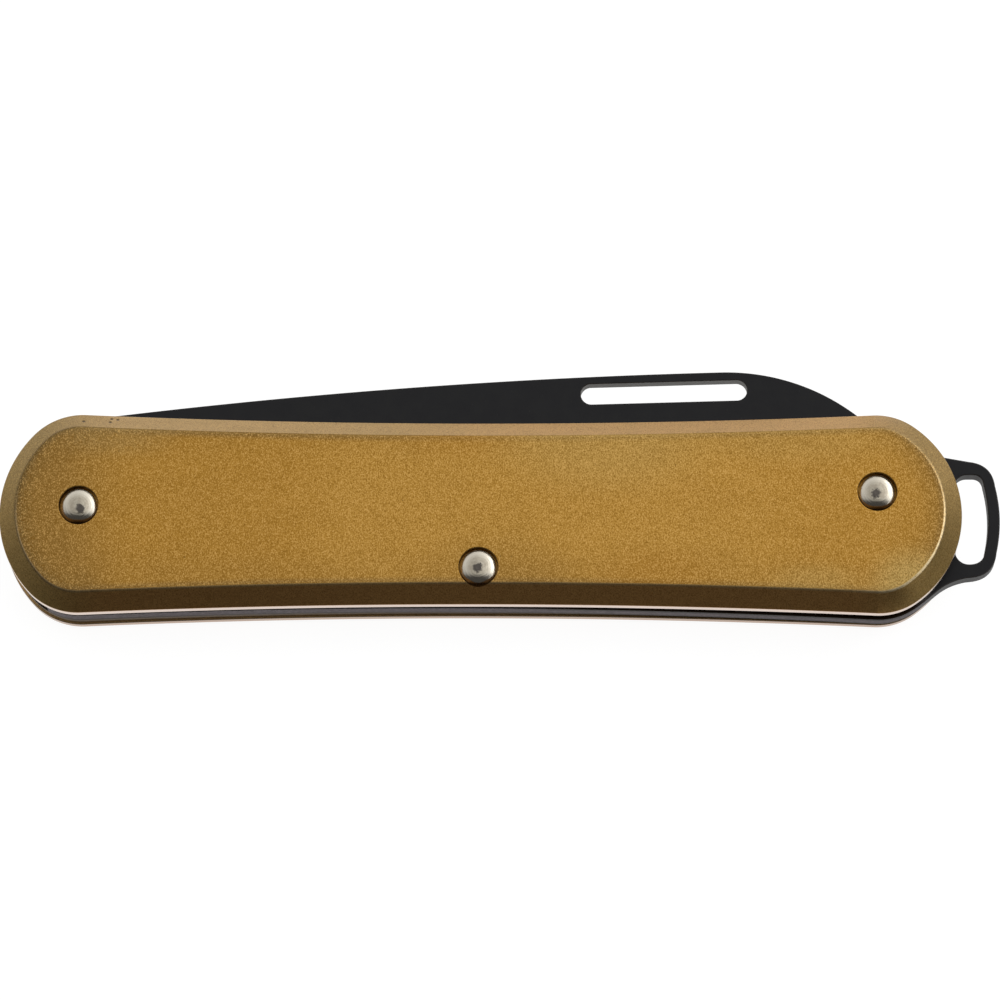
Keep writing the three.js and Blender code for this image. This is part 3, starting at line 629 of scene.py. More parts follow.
# %% What the grinding wheel takes off
GRIND_HEIGHT = 6.4
EDGE_BEVEL_HEIGHT, EDGE_SHOULDER, EDGE_THICKNESS = 0.7, 0.36, 0.04
PLUNGE_START, PLUNGE_LENGTH, PLUNGE_RAMP = 0.8, 5.0, 1.6
BLADE_EDGE_BREAK, WHEEL_CLEARANCE = 0.08, 0.02
BLADE_LOW, BLADE_HIGH = box("blade")[0][2], box("blade")[1][2]
HALF_BLADE = (BLADE_HIGH - BLADE_LOW) / 2


def grind_tool(side):
    """The wedge over a grid: s runs along the edge and h up from it. The metal ends at a height
    that rises evenly in two steps, edge bevel and ground flat. It comes into force over a ramp
    behind a quarter ellipse, where the wheel plunged in."""
    length = np.hypot(*(TIP - HEEL)) + NOSE_RADIUS
    ramp_end = PLUNGE_START + PLUNGE_LENGTH + PLUNGE_RAMP
    s = np.concatenate([np.linspace(0, ramp_end, 96), [length]])
    h = np.concatenate([[-1, 0, EDGE_BEVEL_HEIGHT], np.linspace(1, GRIND_HEIGHT, 40)[1:], [GRIND_HEIGHT + 1]])
    slope = (HALF_BLADE - EDGE_SHOULDER / 2) / (GRIND_HEIGHT - EDGE_BEVEL_HEIGHT)
    ground = np.interp(
        h,
        [0, EDGE_BEVEL_HEIGHT, GRIND_HEIGHT, GRIND_HEIGHT + 1],
        [EDGE_THICKNESS / 2, EDGE_SHOULDER / 2, HALF_BLADE, HALF_BLADE + slope],
    )
    rise = np.clip(h / (GRIND_HEIGHT + 1), 0, 1)
    plunge = PLUNGE_START + PLUNGE_LENGTH * (1 - np.sqrt(1 - rise**2))
    share = np.clip((s[:, None] - plunge) / PLUNGE_RAMP, 0, 1)
    share = 1 - (1 - share) ** 2
    clear = HALF_BLADE + WHEEL_CLEARANCE
    z = clear - (clear - np.minimum(ground, clear)) * share
    z[:, -1] = clear
    along = np.array([np.cos(EDGE_TURN), np.sin(EDGE_TURN)])
    up = np.array([-along[1], along[0]])
    flat = PIVOT + HEEL + s[:, None, None] * along + h[None, :, None] * up
    lid = np.full(z.shape, HALF_BLADE + 1)
    rows, columns = z.shape
    sheets = [np.dstack([flat, MID_Z + side * height]).reshape(-1, 3) for height in (z, lid)]
    here = np.arange(rows * columns).reshape(rows, columns)
    quads = np.stack([here[:-1, :-1], here[:-1, 1:], here[1:, 1:], here[1:, :-1]], axis=-1).reshape(-1, 4)
    rim = np.concatenate([here[:, 0], here[-1, 1:], here[-2::-1, -1], here[0, -2:0:-1]])
    wall = np.stack([rim, np.roll(rim, -1), np.roll(rim, -1) + here.size, rim + here.size], axis=-1)
    faces = np.vstack([quads, quads[:, ::-1] + here.size, wall])
    return mesh_object("wheel", np.vstack(sheets), faces if side > 0 else faces[:, ::-1])


# %% The blade
def blade_piece():
    outlines = [PIVOT + r for r in (blade_ring(), slot_ring(), hole((0, 0), BUSHING_BORE))]
    edge = straight_edge(BLADE_LOW, BLADE_HIGH, BLADE_EDGE_BREAK)
    made = plate("blade_skin", outlines, [edge] * 3)
    cut(made, [grind_tool(1), grind_tool(-1)])
    return finished(made, "blade", ["blade"], sharp=6)


blade = blade_piece()


# %% [markdown]
# ## The rivets
#
# Each rivet is a pin whose ends were spun over into shallow domes. The spinning tool leaves a small
# dimple in the middle and fine rings round it. The dome is one arc in the profile. The heads are a
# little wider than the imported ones, which leaves the narrow dark ring that the picture shows.

# %% Turned heads
HEAD_SPREAD, CHEEK_BREAK = 0.15, 0.05
HEAD_REACH = HEAD_RADIUS + HEAD_SPREAD
DOME_HEIGHT = 0.36
HEAD_SUNK = 0.05
PIN_RADIUS = 1.2
DIMPLE_RADIUS, DIMPLE_DEPTH = 0.5, 0.035


def head_profile():
    """Radius and height of the upper half: pin, seat, cheek, dome and dimple. The dome is an arc,
    and the dimple is taken off it as a squared cosine of the radius."""
    seat = MID_Z - RECESS_DEPTH
    dome_radius = (HEAD_REACH**2 + DOME_HEIGHT**2) / (2 * DOME_HEIGHT)
    middle = MID_Z - HEAD_SUNK - dome_radius
    dome = arc((0, middle), dome_radius, np.arccos(HEAD_REACH / dome_radius), np.pi / 2, 40)
    dome[:, 1] -= DIMPLE_DEPTH * np.cos(np.clip(dome[:, 0] / DIMPLE_RADIUS, 0, 1) * np.pi / 2) ** 2
    soft = CHEEK_BREAK
    return np.vstack([
        [[PIN_RADIUS, 0], [PIN_RADIUS, seat], [HEAD_REACH - soft, seat], [HEAD_REACH, seat + soft]],
        dome,
        [[0, middle + dome_radius - DIMPLE_DEPTH]],
    ])


def rivet(name, node):
    """Both halves in one profile, from the lower dimple up to the upper one."""
    upper = head_profile()
    lower = (upper * [1, -1])[:0:-1]
    profile = np.vstack([lower, upper]) + [0, MID_Z]
    return finished(turned(name, profile, centre(node)[:2]), "handle", [node], sharp=40)


rivets = [rivet(n + "_turned", n) for n in ("pivot_rivet", "middle_rivet", "tail_rivet")]


# %% [markdown]
# ## Finishes
#
# A finish is a small net of shader nodes. To keep it readable, one class wraps a node's output so
# that it can be added and multiplied like a number, and another holds the material and makes any
# node from its type, its settings and the values of its sockets.

# %% Sockets that count like numbers
class Wire:
    """One output of a node. Sums and products of wires become Math nodes."""

    def __init__(self, finish, socket):
        self.finish, self.socket = finish, socket

    def math(self, operation, *values):
        return self.finish.node("ShaderNodeMath", {"operation": operation}, dict(enumerate(values)))

    def __add__(self, other):
        return self.math("ADD", self, other)

    def __sub__(self, other):
        return self.math("SUBTRACT", self, other)

    def __rsub__(self, other):
        return self.math("SUBTRACT", other, self)

    def __mul__(self, other):
        return self.math("MULTIPLY", self, other)

    def __truediv__(self, other):
        return self.math("DIVIDE", self, other)

    def __pow__(self, power):
        return self.math("POWER", self, power)

    def __abs__(self):
        return self.math("ABSOLUTE", self)

    def at_least(self, other):
        return self.math("MAXIMUM", self, other)

    def at_most(self, other):
        return self.math("MINIMUM", self, other)

    __radd__, __rmul__ = __add__, __mul__


class Finish:
    """A node tree with one method that makes any node."""

    def __init__(self, owner):
        owner.use_nodes = True
        self.owner, self.tree = owner, owner.node_tree

    def join(self, value, socket):
        """Links a wire, or sets a number, a vector or a colour of three numbers."""
        if isinstance(value, Wire):
            self.tree.links.new(value.socket, socket)
        else:
            socket.default_value = (*value, 1.0) if socket.type == "RGBA" else value

    def node(self, kind, settings, sockets, out=0):
        made = self.tree.nodes.new(kind)
        for name, value in settings.items():
            setattr(made, name, value)
        for key, value in sockets.items():
            self.join(value, made.inputs[key])
        return Wire(self, made.outputs[out])

    def surface(self, **values):
        """Sets or links sockets of the surface shader, such as Base_Color."""
        shader = next(n for n in self.tree.nodes if n.type == "BSDF_PRINCIPLED")
        for name, value in values.items():
            self.join(value, shader.inputs[name.replace("_", " ")])

    def place(self):
        """The point of the piece in millimetres, as a vector."""
        spot = self.node("ShaderNodeTexCoord", {}, {}, "Object")
        return self.node("ShaderNodeVectorMath", {"operation": "SCALE"}, {0: spot, "Scale": 1 / MM})

    def axes(self, vector):
        """The three numbers of a vector."""
        return [self.node("ShaderNodeSeparateXYZ", {}, {0: vector}, out) for out in range(3)]

    def noise(self, vector, scale, detail=4.0, roughness=0.6):
        sockets = {"Vector": vector, "Scale": scale, "Detail": detail, "Roughness": roughness}
        return self.node("ShaderNodeTexNoise", {}, sockets)

    def stretched(self, vector, factors):
        """The vector with each of its numbers multiplied, for a grain that runs one way."""
        return self.node("ShaderNodeVectorMath", {"operation": "MULTIPLY"}, {0: vector, 1: factors})

    def ease(self, value, start, end):
        """0 below start, 1 above end and a smooth step between."""
        settings = {"interpolation_type": "SMOOTHSTEP"}
        return self.node("ShaderNodeMapRange", settings, {"Value": value, "From Min": start, "From Max": end})

    def mix(self, share, a, b):
        """Colour a where the share is 0 and colour b where it is 1."""
        return self.node("ShaderNodeMix", {"data_type": "RGBA"}, {0: share, 6: a, 7: b}, 2)

    def layers(self, base, *coats):
        """Pairs of a share and a colour, laid over the base one after another."""
        for share, coat in coats:
            base = self.mix(share, base, coat)
        return base

    def bump(self, height, distance):
        """Height in millimetres times a distance, as a bent normal."""
        return self.node("ShaderNodeBump", {}, {"Height": height, "Distance": distance * MM})


def new_finish(name):
    return Finish(bpy.data.materials.new(name))


# %% [markdown]
# ## The anodised scales
#
# The scales were blasted to a fine grain and then coloured bronze in an acid bath. The finish is
# never quite even. It sparkles at the scale of a tenth of a millimetre, is mottled over a few
# millimetres, and has turned brown at the pivot end, where hands rub it, with a few rusty and mossy
# stains. The bevel is tan at the top and brown at the bottom, which is light and shade painted on
# one bronze, and olive round the ends, its inner edge is rubbed pale at the tail, and the walls are
# bare pink metal, the rear one painted darker as shade. How near a point is to the edge is worked
# out from the same arcs as the outline, and where the bevel lies follows from the height.

# %% How far in from the outline a point lies
def half_value(right, key, part=None):
    """A size of the outline that differs between the pivot half and the tail half."""
    pivot, tail = (q[key] if part is None else abs(q[key][part]) for q in (PIVOT_UPPER, TAIL_UPPER))
    return pivot + (tail - pivot) * right


def distance_in(f, x, y):
    """The nearer of the long side and the end arc. Where the two meet, a point beyond the
    shoulder's centre lies its radius less the distance from that centre away from the edge. The
    long side is so flat an arc that a parabola stands for it."""
    right = f.ease(x, -0.01, 0.01)
    out, across = abs(x), abs(y)
    side = HALF_WAIST + out * out * (0.5 / SIDE_RADIUS) - across
    end_radius = half_value(right, "end_radius")
    beyond = (out + end_radius - HALF_LENGTH).at_least(0.0)
    end = end_radius - (beyond * beyond + across * across) ** 0.5
    nearer = side.at_most(end)
    u = out - half_value(right, "shoulder", 0)
    v = across - half_value(right, "shoulder", 1)
    slope = half_value(right, "tan_end")
    inside = f.ease(v - u * slope, 0.0, 0.01) * f.ease(u, -0.01, 0.0)
    shoulder = half_value(right, "radius") - (u * u + v * v) ** 0.5
    return nearer + inside * (shoulder - nearer)


# %% Colours and stains of the anodised finish
GOLD, HONEY, BROWN = (0.377, 0.204, 0.0382), (0.346, 0.179, 0.0285), (0.215, 0.117, 0.026)
GRAIN_DARK, GRAIN_LIGHT = (0.17, 0.075, 0.008), (0.61, 0.37, 0.12)
MOSS, RUST, LICHEN = (0.39, 0.28, 0.095), (0.30, 0.135, 0.014), (0.235, 0.160, 0.060)
EDGE_GREY, EDGE_DARK, RIM_PALE = (0.16, 0.10, 0.036), (0.09, 0.06, 0.022), (0.60, 0.50, 0.31)
# The bevel's tan top and brown bottom are painted light and shade on one bronze.
LIT_TAN_LEFT, LIT_TAN_RIGHT, SHADED_BEVEL_BROWN = (0.430, 0.287, 0.133), (0.510, 0.308, 0.136), (0.40, 0.209, 0.071)
OLIVE_HIGH, OLIVE_LOW, BEVEL_SHADE = (0.205, 0.145, 0.048), (0.35, 0.252, 0.093), (0.26, 0.185, 0.075)
WALL_PINK, WALL_SHADE, LEDGE = (0.74, 0.60, 0.52), (0.42, 0.285, 0.20), (0.62, 0.40, 0.17)
PIT, RECESS_SHADE_DARK = (0.05, 0.03, 0.01), (0.06, 0.024, 0.005)

# A stain is a middle, how far it reaches along and across, and its share in the middle.
BROWN_STAINS = [((2.0, -9.0), (11.0, 9.0), 0.40)]
RUST_STAINS = [((20.0, -7.5), (9.0, 4.0), 0.35), ((-2.0, 8.5), (10.0, 3.5), 0.28)]
LICHEN_STAINS = [((-41.0, 9.0), (9.0, 4.0), 0.5)]
MOSS_STAINS = [
    ((48.0, -9.0), (6.0, 6.0), 0.7), ((37.5, -8.6), (7.0, 3.2), 0.3),
    ((36.0, 8.5), (15.0, 4.5), 0.2), ((14.0, 8.0), (16.0, 8.0), 0.3),
]
PITS = [((x, y), (0.28, 0.2), 1.2) for x, y in ((-44.7, 10.5), (-41.7, 10.4), (-41.6, 10.9), (-40.9, 10.8))]


def stain(f, at, middle, reach, share):
    """The share at its middle, fading to 0 on an ellipse."""
    u, v = (at.x - middle[0]) / reach[0], (at.y - middle[1]) / reach[1]
    return (1 - f.ease((u * u + v * v) ** 0.5, 0.25, 1.0)) * share


def stains(f, at, rows):
    return sum(stain(f, at, *row) for row in rows)


# %% Anodised finish
def scale_masks(f):
    """Where a point of a scale lies, as coordinates and as masks from 0 to 1."""
    p = f.place()
    x, y, z = f.axes(p)
    height = abs(z - MID_Z)
    return SimpleNamespace(
        p=p, x=x, y=y, z=z, height=height, past=distance_in(f, x, y) - BEVEL_WIDTH,
        face=f.ease(height, MID_Z - 0.03, MID_Z - 0.01),
        wall=1 - f.ease(height, MID_Z - BEVEL_DEPTH - 0.06, MID_Z - BEVEL_DEPTH + 0.03),
        left_end=f.ease(0 - x, 40.0, 50.0), right_end=f.ease(x, 42.0, 50.0),
        upper=f.ease(y, -4.0, 4.0), leftward=f.ease(0 - x, -5.0, 25.0),
        mottle=f.noise(p, 1.6, 3.0, 0.6),
    )


def face_colour(f, at):
    """Gold in the middle, honey towards both ends, brown at the ends and low down, grey and dark
    along the bevel, and the stains over that."""
    x, y, past = at.x, at.y, at.past
    cloud = f.noise(f.stretched(at.p, (0.8, 1.3, 1.0)), 0.22, 3.0, 0.55)
    drift = (cloud - 0.5) * 1.2
    patchy = f.ease(at.mottle, 0.2, 0.5)
    honey = f.ease(0 - x, 12.0, 24.0) + f.ease(x, 22.0, 42.0) * 0.9 + drift

    ends = f.ease(0 - x, 38.0, 48.0) * 0.76 + f.ease(0 - x, 12.0, 34.0) * 0.08
    ends = ends + f.ease(abs(x), 40.0, 52.0) * 0.15
    low = (1 - f.ease(y, -9.0, -2.0)) * 0.22
    wide = 0.14 + 0.30 * f.ease(abs(x), 42.0, 50.0) + 0.35 * at.left_end
    wide = wide * (1 - f.ease(past, 0.0, 3.94))
    brown = ends + low + stains(f, at, BROWN_STAINS) + wide + drift * 0.3

    narrow = (1 - f.ease(past, 0.12, 0.9)) * f.ease(past + 0.3 * at.upper, 0.10, 0.26)
    hem = at.left_end * (0.5 - 0.2 * f.ease(y, 4.0, 8.0)) + 0.22 * at.right_end
    hem = hem * (1 - f.ease(past, 0.14, 2.74)) * patchy
    line = 0.22 + 0.15 * at.leftward + 0.3 * (at.left_end + at.right_end)
    line = line * (1 - f.ease(past, 0.05, 0.4)) * at.upper
    return f.layers(
        GOLD,
        (honey, HONEY),
        (brown, BROWN),
        (narrow * (0.50 + 0.2 * at.leftward), EDGE_GREY),
        (hem + line, EDGE_DARK),
        (stains(f, at, RUST_STAINS), RUST),
        (stains(f, at, LICHEN_STAINS) * patchy, LICHEN),
        (stains(f, at, MOSS_STAINS), MOSS),
    )


def bevel_colour(f, at):
    """Tan at the top and brown at the bottom, light and shade painted on one bronze, olive round
    both ends, with faint blotches.
    """
    # Painted light: the upper bevel is tan, and the lower one stays brown as painted shade.
    tan = f.mix(f.ease(at.x, -12.0, 8.0), LIT_TAN_LEFT, LIT_TAN_RIGHT)
    round_end = f.ease(abs(at.x), HALF_LENGTH - 13.0, HALF_LENGTH - 4.0)
    olive = f.mix(f.ease(at.y, -6.0, 6.0), OLIVE_LOW, OLIVE_HIGH)
    blotch = f.ease(f.noise(f.stretched(at.p, (0.6, 1.0, 1.0)), 0.9, 4.0, 0.7), 0.42, 0.60)
    shade = blotch * 0.16 * at.upper + 0.14 * at.right_end
    return f.layers(SHADED_BEVEL_BROWN, (at.upper, tan), (round_end * 0.8, olive), (shade, BEVEL_SHADE))


def rubbed_edge(f, at, base):
    """The bevel's inner edge: a dark line round the pivot end, and a pale one round the tail end
    and, weaker, all along the bottom."""
    brow = f.ease(at.past, -0.46, -0.16) * (1 - f.ease(at.past, -0.06, 0.19))
    brow = brow * at.left_end * f.ease(at.y, -4.0, 3.0)
    rim = f.ease(at.past, -0.22, -0.12) * (1 - f.ease(at.past, 0.04, 0.14))
    tail = f.ease(at.x, HALF_LENGTH - 14.0, HALF_LENGTH - 7.0) * (0.95 - f.ease(at.y, -7.0, 7.0) * 0.75)
    pale = tail * f.ease(at.mottle, 0.25, 0.5) + (1 - at.upper) * 0.42
    return f.layers(base, (brow * 0.55, EDGE_DARK), (rim * pale * 0.70, RIM_PALE))


def rivet_recess_shade(f, at, base):
    """Shade painted dark in the recess round each rivet, most of it below."""
    sunk = 1 - f.ease(at.height, MID_Z - 0.10, MID_Z - 0.02)
    for middle in (PIVOT, MIDDLE_RIVET, TAIL_RIVET):
        u, v = at.x - middle[0], at.y - middle[1]
        near = 1 - f.ease((u * u + v * v) ** 0.5, RECESS_RADIUS + 0.02, RECESS_RADIUS + 0.10)
        # Painted shade: the recess is darkened, most of all below the rivet.
        base = f.mix(near * sunk * (0.9 - 0.75 * f.ease(v, -2.0, 2.0)), base, RECESS_SHADE_DARK)
    return base


def anodised():
    """Face and bevel meet where the inset reaches the bevel's width. Over both lie the grain of the
    blasting, the bare walls and a few pits."""
    f = new_finish("anodised_bronze")
    at = scale_masks(f)
    early = 0.06 + 0.04 * at.leftward
    inside = f.ease(at.past + early, -0.12, -0.02)
    base = rubbed_edge(f, at, f.mix(inside, bevel_colour(f, at), face_colour(f, at)))

    fine = f.noise(f.stretched(at.p, (1.15, 0.80, 1.0)), 7.0, 2.0, 0.7)
    tone = f.ease(fine * 0.9 + at.mottle * 0.1, 0.22, 0.78)
    share = 0.75 + 0.25 * at.face
    front = f.ease(at.z, MID_Z - 0.1, MID_Z + 0.1)
    inner = 1 - f.ease(at.height, SCALE_LOW[2] - MID_Z + 0.01, SCALE_LOW[2] - MID_Z + 0.08)
    cells = f.node("ShaderNodeTexVoronoi", {}, {"Vector": at.p, "Scale": 0.42}, "Distance")
    pit = 1 - f.ease(cells, 0.012, 0.035)
    for row in PITS:
        pit = pit.at_least(stain(f, at, *row))
    pitted = f.layers(
        base,
        ((0.5 - tone).at_least(0.0) * 1.8 * share, GRAIN_DARK),
        ((tone - 0.5).at_least(0.0) * 1.58 * share, GRAIN_LIGHT),
        (at.wall * 0.9, f.mix(front, f.mix(inner, WALL_SHADE, LEDGE), WALL_PINK)),
        (pit * 0.8, PIT),
    )
    roughness = 0.30 + 0.14 * at.face + 0.06 * at.mottle - 0.08 * at.wall
    normal = f.bump(fine * (0.2 + 0.8 * at.face) - pit * 2.0, 0.008)
    f.surface(Base_Color=rivet_recess_shade(f, at, pitted), Metallic=1.0, Roughness=roughness, Normal=normal)
    return f.owner


anodised_bronze = anodised()
for piece in (front_scale, rear_scale):
    piece.data.materials.append(anodised_bronze)


# %% [markdown]
# ## The black coated steel
#
# Blade and backspring carry a hard matt coating, almost black and very fine. It is worn thin on the
# narrow walls, which show grey steel. The back of the spring, where a thumb presses, is rubbed to
# patchy purplish steel. Shade is painted dark on the broken edges and on the spring's wall, at its
# foot and, towards the tail, at its top. The cutting edge was sharpened after coating, so its bevel
# is bright, with the scratches of the stone across it.

# %% Coated finish
COAT_SHINE = 0.17
COAT_DARK, COAT_LIGHT, COAT_SPECK = (0.0044, 0.0043, 0.0054), (0.0060, 0.0060, 0.0066), (0.08, 0.08, 0.075)
WALL_GREY, BACK_DARK, BACK_LIGHT = (0.25, 0.245, 0.235), (0.045, 0.027, 0.031), (0.125, 0.095, 0.105)
PAINTED_SHADE_DARK, BARE_DARK, BARE_LIGHT = (0.016, 0.008, 0.003), (0.42, 0.42, 0.42), (0.66, 0.66, 0.65)
HALF_SPRING = (box("backspring")[1] - box("backspring")[0])[2] / 2


def coat(name, half):
    """What blade and backspring share: the black coating, and masks for the worn walls and for the
    painted shade on the broken edge beside them. Half is half the piece's thickness."""
    f = new_finish(name)
    p = f.place()
    x, y, z = f.axes(p)
    height = abs(z - MID_Z)
    shaded_edge = f.ease(height, half - 0.10, half - 0.08) * (1 - f.ease(height, half - 0.02, half - 0.005))
    fine = f.noise(p, 14.0, 3.0, 0.6)
    tone = f.mix(f.ease(f.noise(p, 0.5, 4.0, 0.6), 0.3, 0.7), COAT_DARK, COAT_LIGHT)
    speck = f.ease(f.noise(p, 5.0, 2.0), 0.74, 0.78)
    return f, SimpleNamespace(
        p=p, x=x, y=y, z=z, shaded_edge=shaded_edge * 0.8,
        wall=1 - f.ease(height, half - 0.14, half - 0.07),
        black=f.mix(speck * 0.4, tone, COAT_SPECK),
        roughness=0.46 + 0.14 * fine, normal=f.bump(fine, 0.008),
    )


def coated_spring():
    """The back is rubbed along the handle. Shade is painted on the broken edges, at the foot and,
    towards the tail, at the top.
    """
    f, at = coat("black_coated_spring", HALF_SPRING)
    back = (1 - f.ease(at.y, 0.0, 0.5)) * (1 - f.ease(at.x, HALF_LENGTH - 6.0, HALF_LENGTH - 3.0))
    patchy = f.ease(f.noise(at.p, 2.2, 4.0, 0.75), 0.35, 0.65)
    steel = f.mix(back, WALL_GREY, f.mix(patchy, BACK_DARK, BACK_LIGHT))
    # Painted shadow on the spring's wall: at its top towards the tail, and at its foot on the liner.
    top = f.ease(at.z, MID_Z + HALF_SPRING - 0.8, MID_Z + HALF_SPRING - 0.5) * f.ease(at.x, 0.0, 12.0)
    foot = 1 - f.ease(at.z, MID_Z - HALF_SPRING + 0.35, MID_Z - HALF_SPRING + 0.6)
    painted_shadow = (top + foot - top * foot) * back
    painted_shadow = painted_shadow + (1 - painted_shadow) * at.shaded_edge
    share = at.wall * (0.3 + 0.5 * back)
    share = share + (0.9 - share) * painted_shadow
    f.surface(
        Base_Color=f.mix(share, at.black, f.mix(painted_shadow, steel, PAINTED_SHADE_DARK)), Metallic=share,
        Roughness=at.roughness, Normal=at.normal, Specular_IOR_Level=COAT_SHINE,
    )
    return f.owner


def coated_blade():
    """Height above the cutting edge and way along it tell the edge bevel from the rest."""
    f, at = coat("black_coated_blade", HALF_BLADE)
    u, v = at.x - (PIVOT + HEEL)[0], at.y - (PIVOT + HEEL)[1]
    c, s = np.cos(EDGE_TURN), np.sin(EDGE_TURN)
    above, along = v * c - u * s, u * c + v * s
    bare = 1 - f.ease(above, EDGE_BEVEL_HEIGHT - 0.02, EDGE_BEVEL_HEIGHT + 0.02)
    bare = bare * f.ease(along, 0.9, 1.1)
    stone = f.noise(f.stretched(at.p, (9.0, 0.6, 3.0)), 1.0, 4.0, 0.7)
    thin = (at.wall * 0.6 + at.shaded_edge) * f.ease(above, GRIND_HEIGHT - 0.5, GRIND_HEIGHT)
    # Near the spine the walls are worn to grey steel, and the broken edge is painted dark as shade.
    rubbed = f.mix(thin, at.black, f.mix(at.shaded_edge, WALL_GREY, PAINTED_SHADE_DARK))
    f.surface(
        Base_Color=f.mix(bare, rubbed, f.mix(stone, BARE_DARK, BARE_LIGHT)), Metallic=bare + thin,
        Roughness=at.roughness * (1 - bare) + (0.2 + 0.15 * stone) * bare,
        Normal=at.normal, Specular_IOR_Level=COAT_SHINE,
    )
    return f.owner


blade.data.materials.append(coated_blade())
backspring.data.materials.append(coated_spring())


# %% [markdown]
# ## Rivets, liners, bushing and washers
#
# The rivet heads are polished steel with fine rings from the spinning tool, so their pattern reads
# the distance from the rivet's own axis. Each has a dent near its middle, where the punch struck,
# with a dark reflection painted into it, and a highlight painted as a paler ring round its rim. The
# liners are dark tempered steel, and the pivot's hidden parts are ground steel and plain bronze.

# %% Finishes of the small metal parts
STEEPER, FALL = 0.055, 0.03
STEEL_LIGHT, STEEL_DULL, RIM_HIGHLIGHT_STEEL = (0.36, 0.325, 0.26), (0.29, 0.255, 0.20), (0.44, 0.405, 0.34)
DENT_REFLECTION_DARK = (0.035, 0.030, 0.030)


def polished(name, at, dent):
    """The head round an axis at a point, with a dent that lies a little off it. The bump rounds
    the dome over at both sides and, more steeply, below."""
    f = new_finish(name)
    p = f.place()
    x, y, z = f.axes(p)
    across, along = x - at[0], y - at[1]
    radius = (across * across + along * along) ** 0.5
    wobble = f.noise(p, 1.2, 2.0)
    rings = f.node("ShaderNodeTexWave", {"wave_type": "BANDS"}, {
        "Vector": f.node("ShaderNodeCombineXYZ", {}, {0: radius + wobble * 0.25}),
        "Scale": 1.1, "Distortion": 2.0, "Detail": 3.0, "Detail Scale": 2.0,
    }, "Fac")
    smear = f.noise(p, 1.9, 3.0, 0.6)
    swirl = f.noise(f.stretched(p, (1.0, 1.0, 0.0)), 2.6, 2.0, 0.6)
    u, v = across - dent[0], along - dent[1]
    middle = 1 - f.ease((u * u + v * v) ** 0.5 + (swirl - 0.5) * 0.9, 0.36, 0.66)
    tint = f.mix(f.ease(smear, 0.35, 0.65), STEEL_DULL, STEEL_LIGHT)
    # Painted highlight: a paler ring round the rim of the dome.
    rim_highlighted = f.mix(f.ease(radius, 0.9, 1.6), tint, RIM_HIGHLIGHT_STEEL)
    # Painted reflection: the dent is dark in the colour, while the bump below shapes the dent itself.
    base = f.mix(middle * 0.85, rim_highlighted, DENT_REFLECTION_DARK)
    roughness = 0.16 + 0.14 * smear + middle * 0.2
    drop = along.at_most(0.0) ** 2.0
    round_over = across * across * STEEPER + drop * drop * FALL
    normal = f.bump(rings * 0.003 + smear * 0.010 + middle * swirl * 0.036 - round_over, 1.0)
    f.surface(Base_Color=base, Metallic=1.0, Roughness=roughness, Normal=normal)
    return f.owner


def ground(name, dark, light, rough):
    """Metal ground one way: long faint scratches between two tones."""
    f = new_finish(name)
    p = f.place()
    scratch = f.noise(f.stretched(p, (0.4, 7.0, 7.0)), 1.0, 4.0, 0.7)
    stain = f.noise(p, 0.6, 3.0)
    base = f.mix(f.ease(scratch * 0.6 + stain * 0.4, 0.35, 0.65), dark, light)
    f.surface(Base_Color=base, Metallic=1.0, Roughness=rough + 0.15 * scratch, Normal=f.bump(scratch, 0.006))
    return f.owner


DENTS = {"pivot_rivet": (0.22, -0.35), "middle_rivet": (-0.06, -0.06), "tail_rivet": (-0.12, -0.18)}
for piece, (node, dent) in zip(rivets, DENTS.items()):
    piece.data.materials.append(polished(node + "_steel", centre(node)[:2], dent))
tempered = ground("tempered_steel", (0.040, 0.028, 0.018), (0.085, 0.060, 0.040), 0.34)
for piece in (front_liner, rear_liner):
    piece.data.materials.append(tempered)
bushing_steel = ground("ground_steel", (0.50, 0.49, 0.47), (0.66, 0.65, 0.62), 0.20)
washer_bronze = ground("rolled_bronze", (0.45, 0.25, 0.11), (0.62, 0.38, 0.18), 0.24)
for node, metal in (
    ("pivot_bushing", bushing_steel),
    ("front_pivot_washer", washer_bronze),
    ("rear_pivot_washer", washer_bronze),
):
    shown = frame["nodes"][node]
    shown.data.materials.clear()
    shown.data.materials.append(metal)


# %% [markdown]
# ## Table, light and camera
#
# The knife lies on a white table. Light comes from a broad bright ceiling, which reaches down at the
# back and the sides and ends above the front, so a bevel that looks back is light and one that looks
# at the camera's side is dark. A soft box on the right draws the highlights in the rivets. The table
# is matt, and to the camera and in reflections it also glows, which keeps it white while the
# knife's soft shadow stays.

# %% Table
FLOOR_SIZE = 40.0
FLOOR_DROP = 0.02 * MM
FLOOR_GREY, FLOOR_GLOW, FLOOR_FADING = (0.14, 0.14, 0.14), 0.93, 0.75


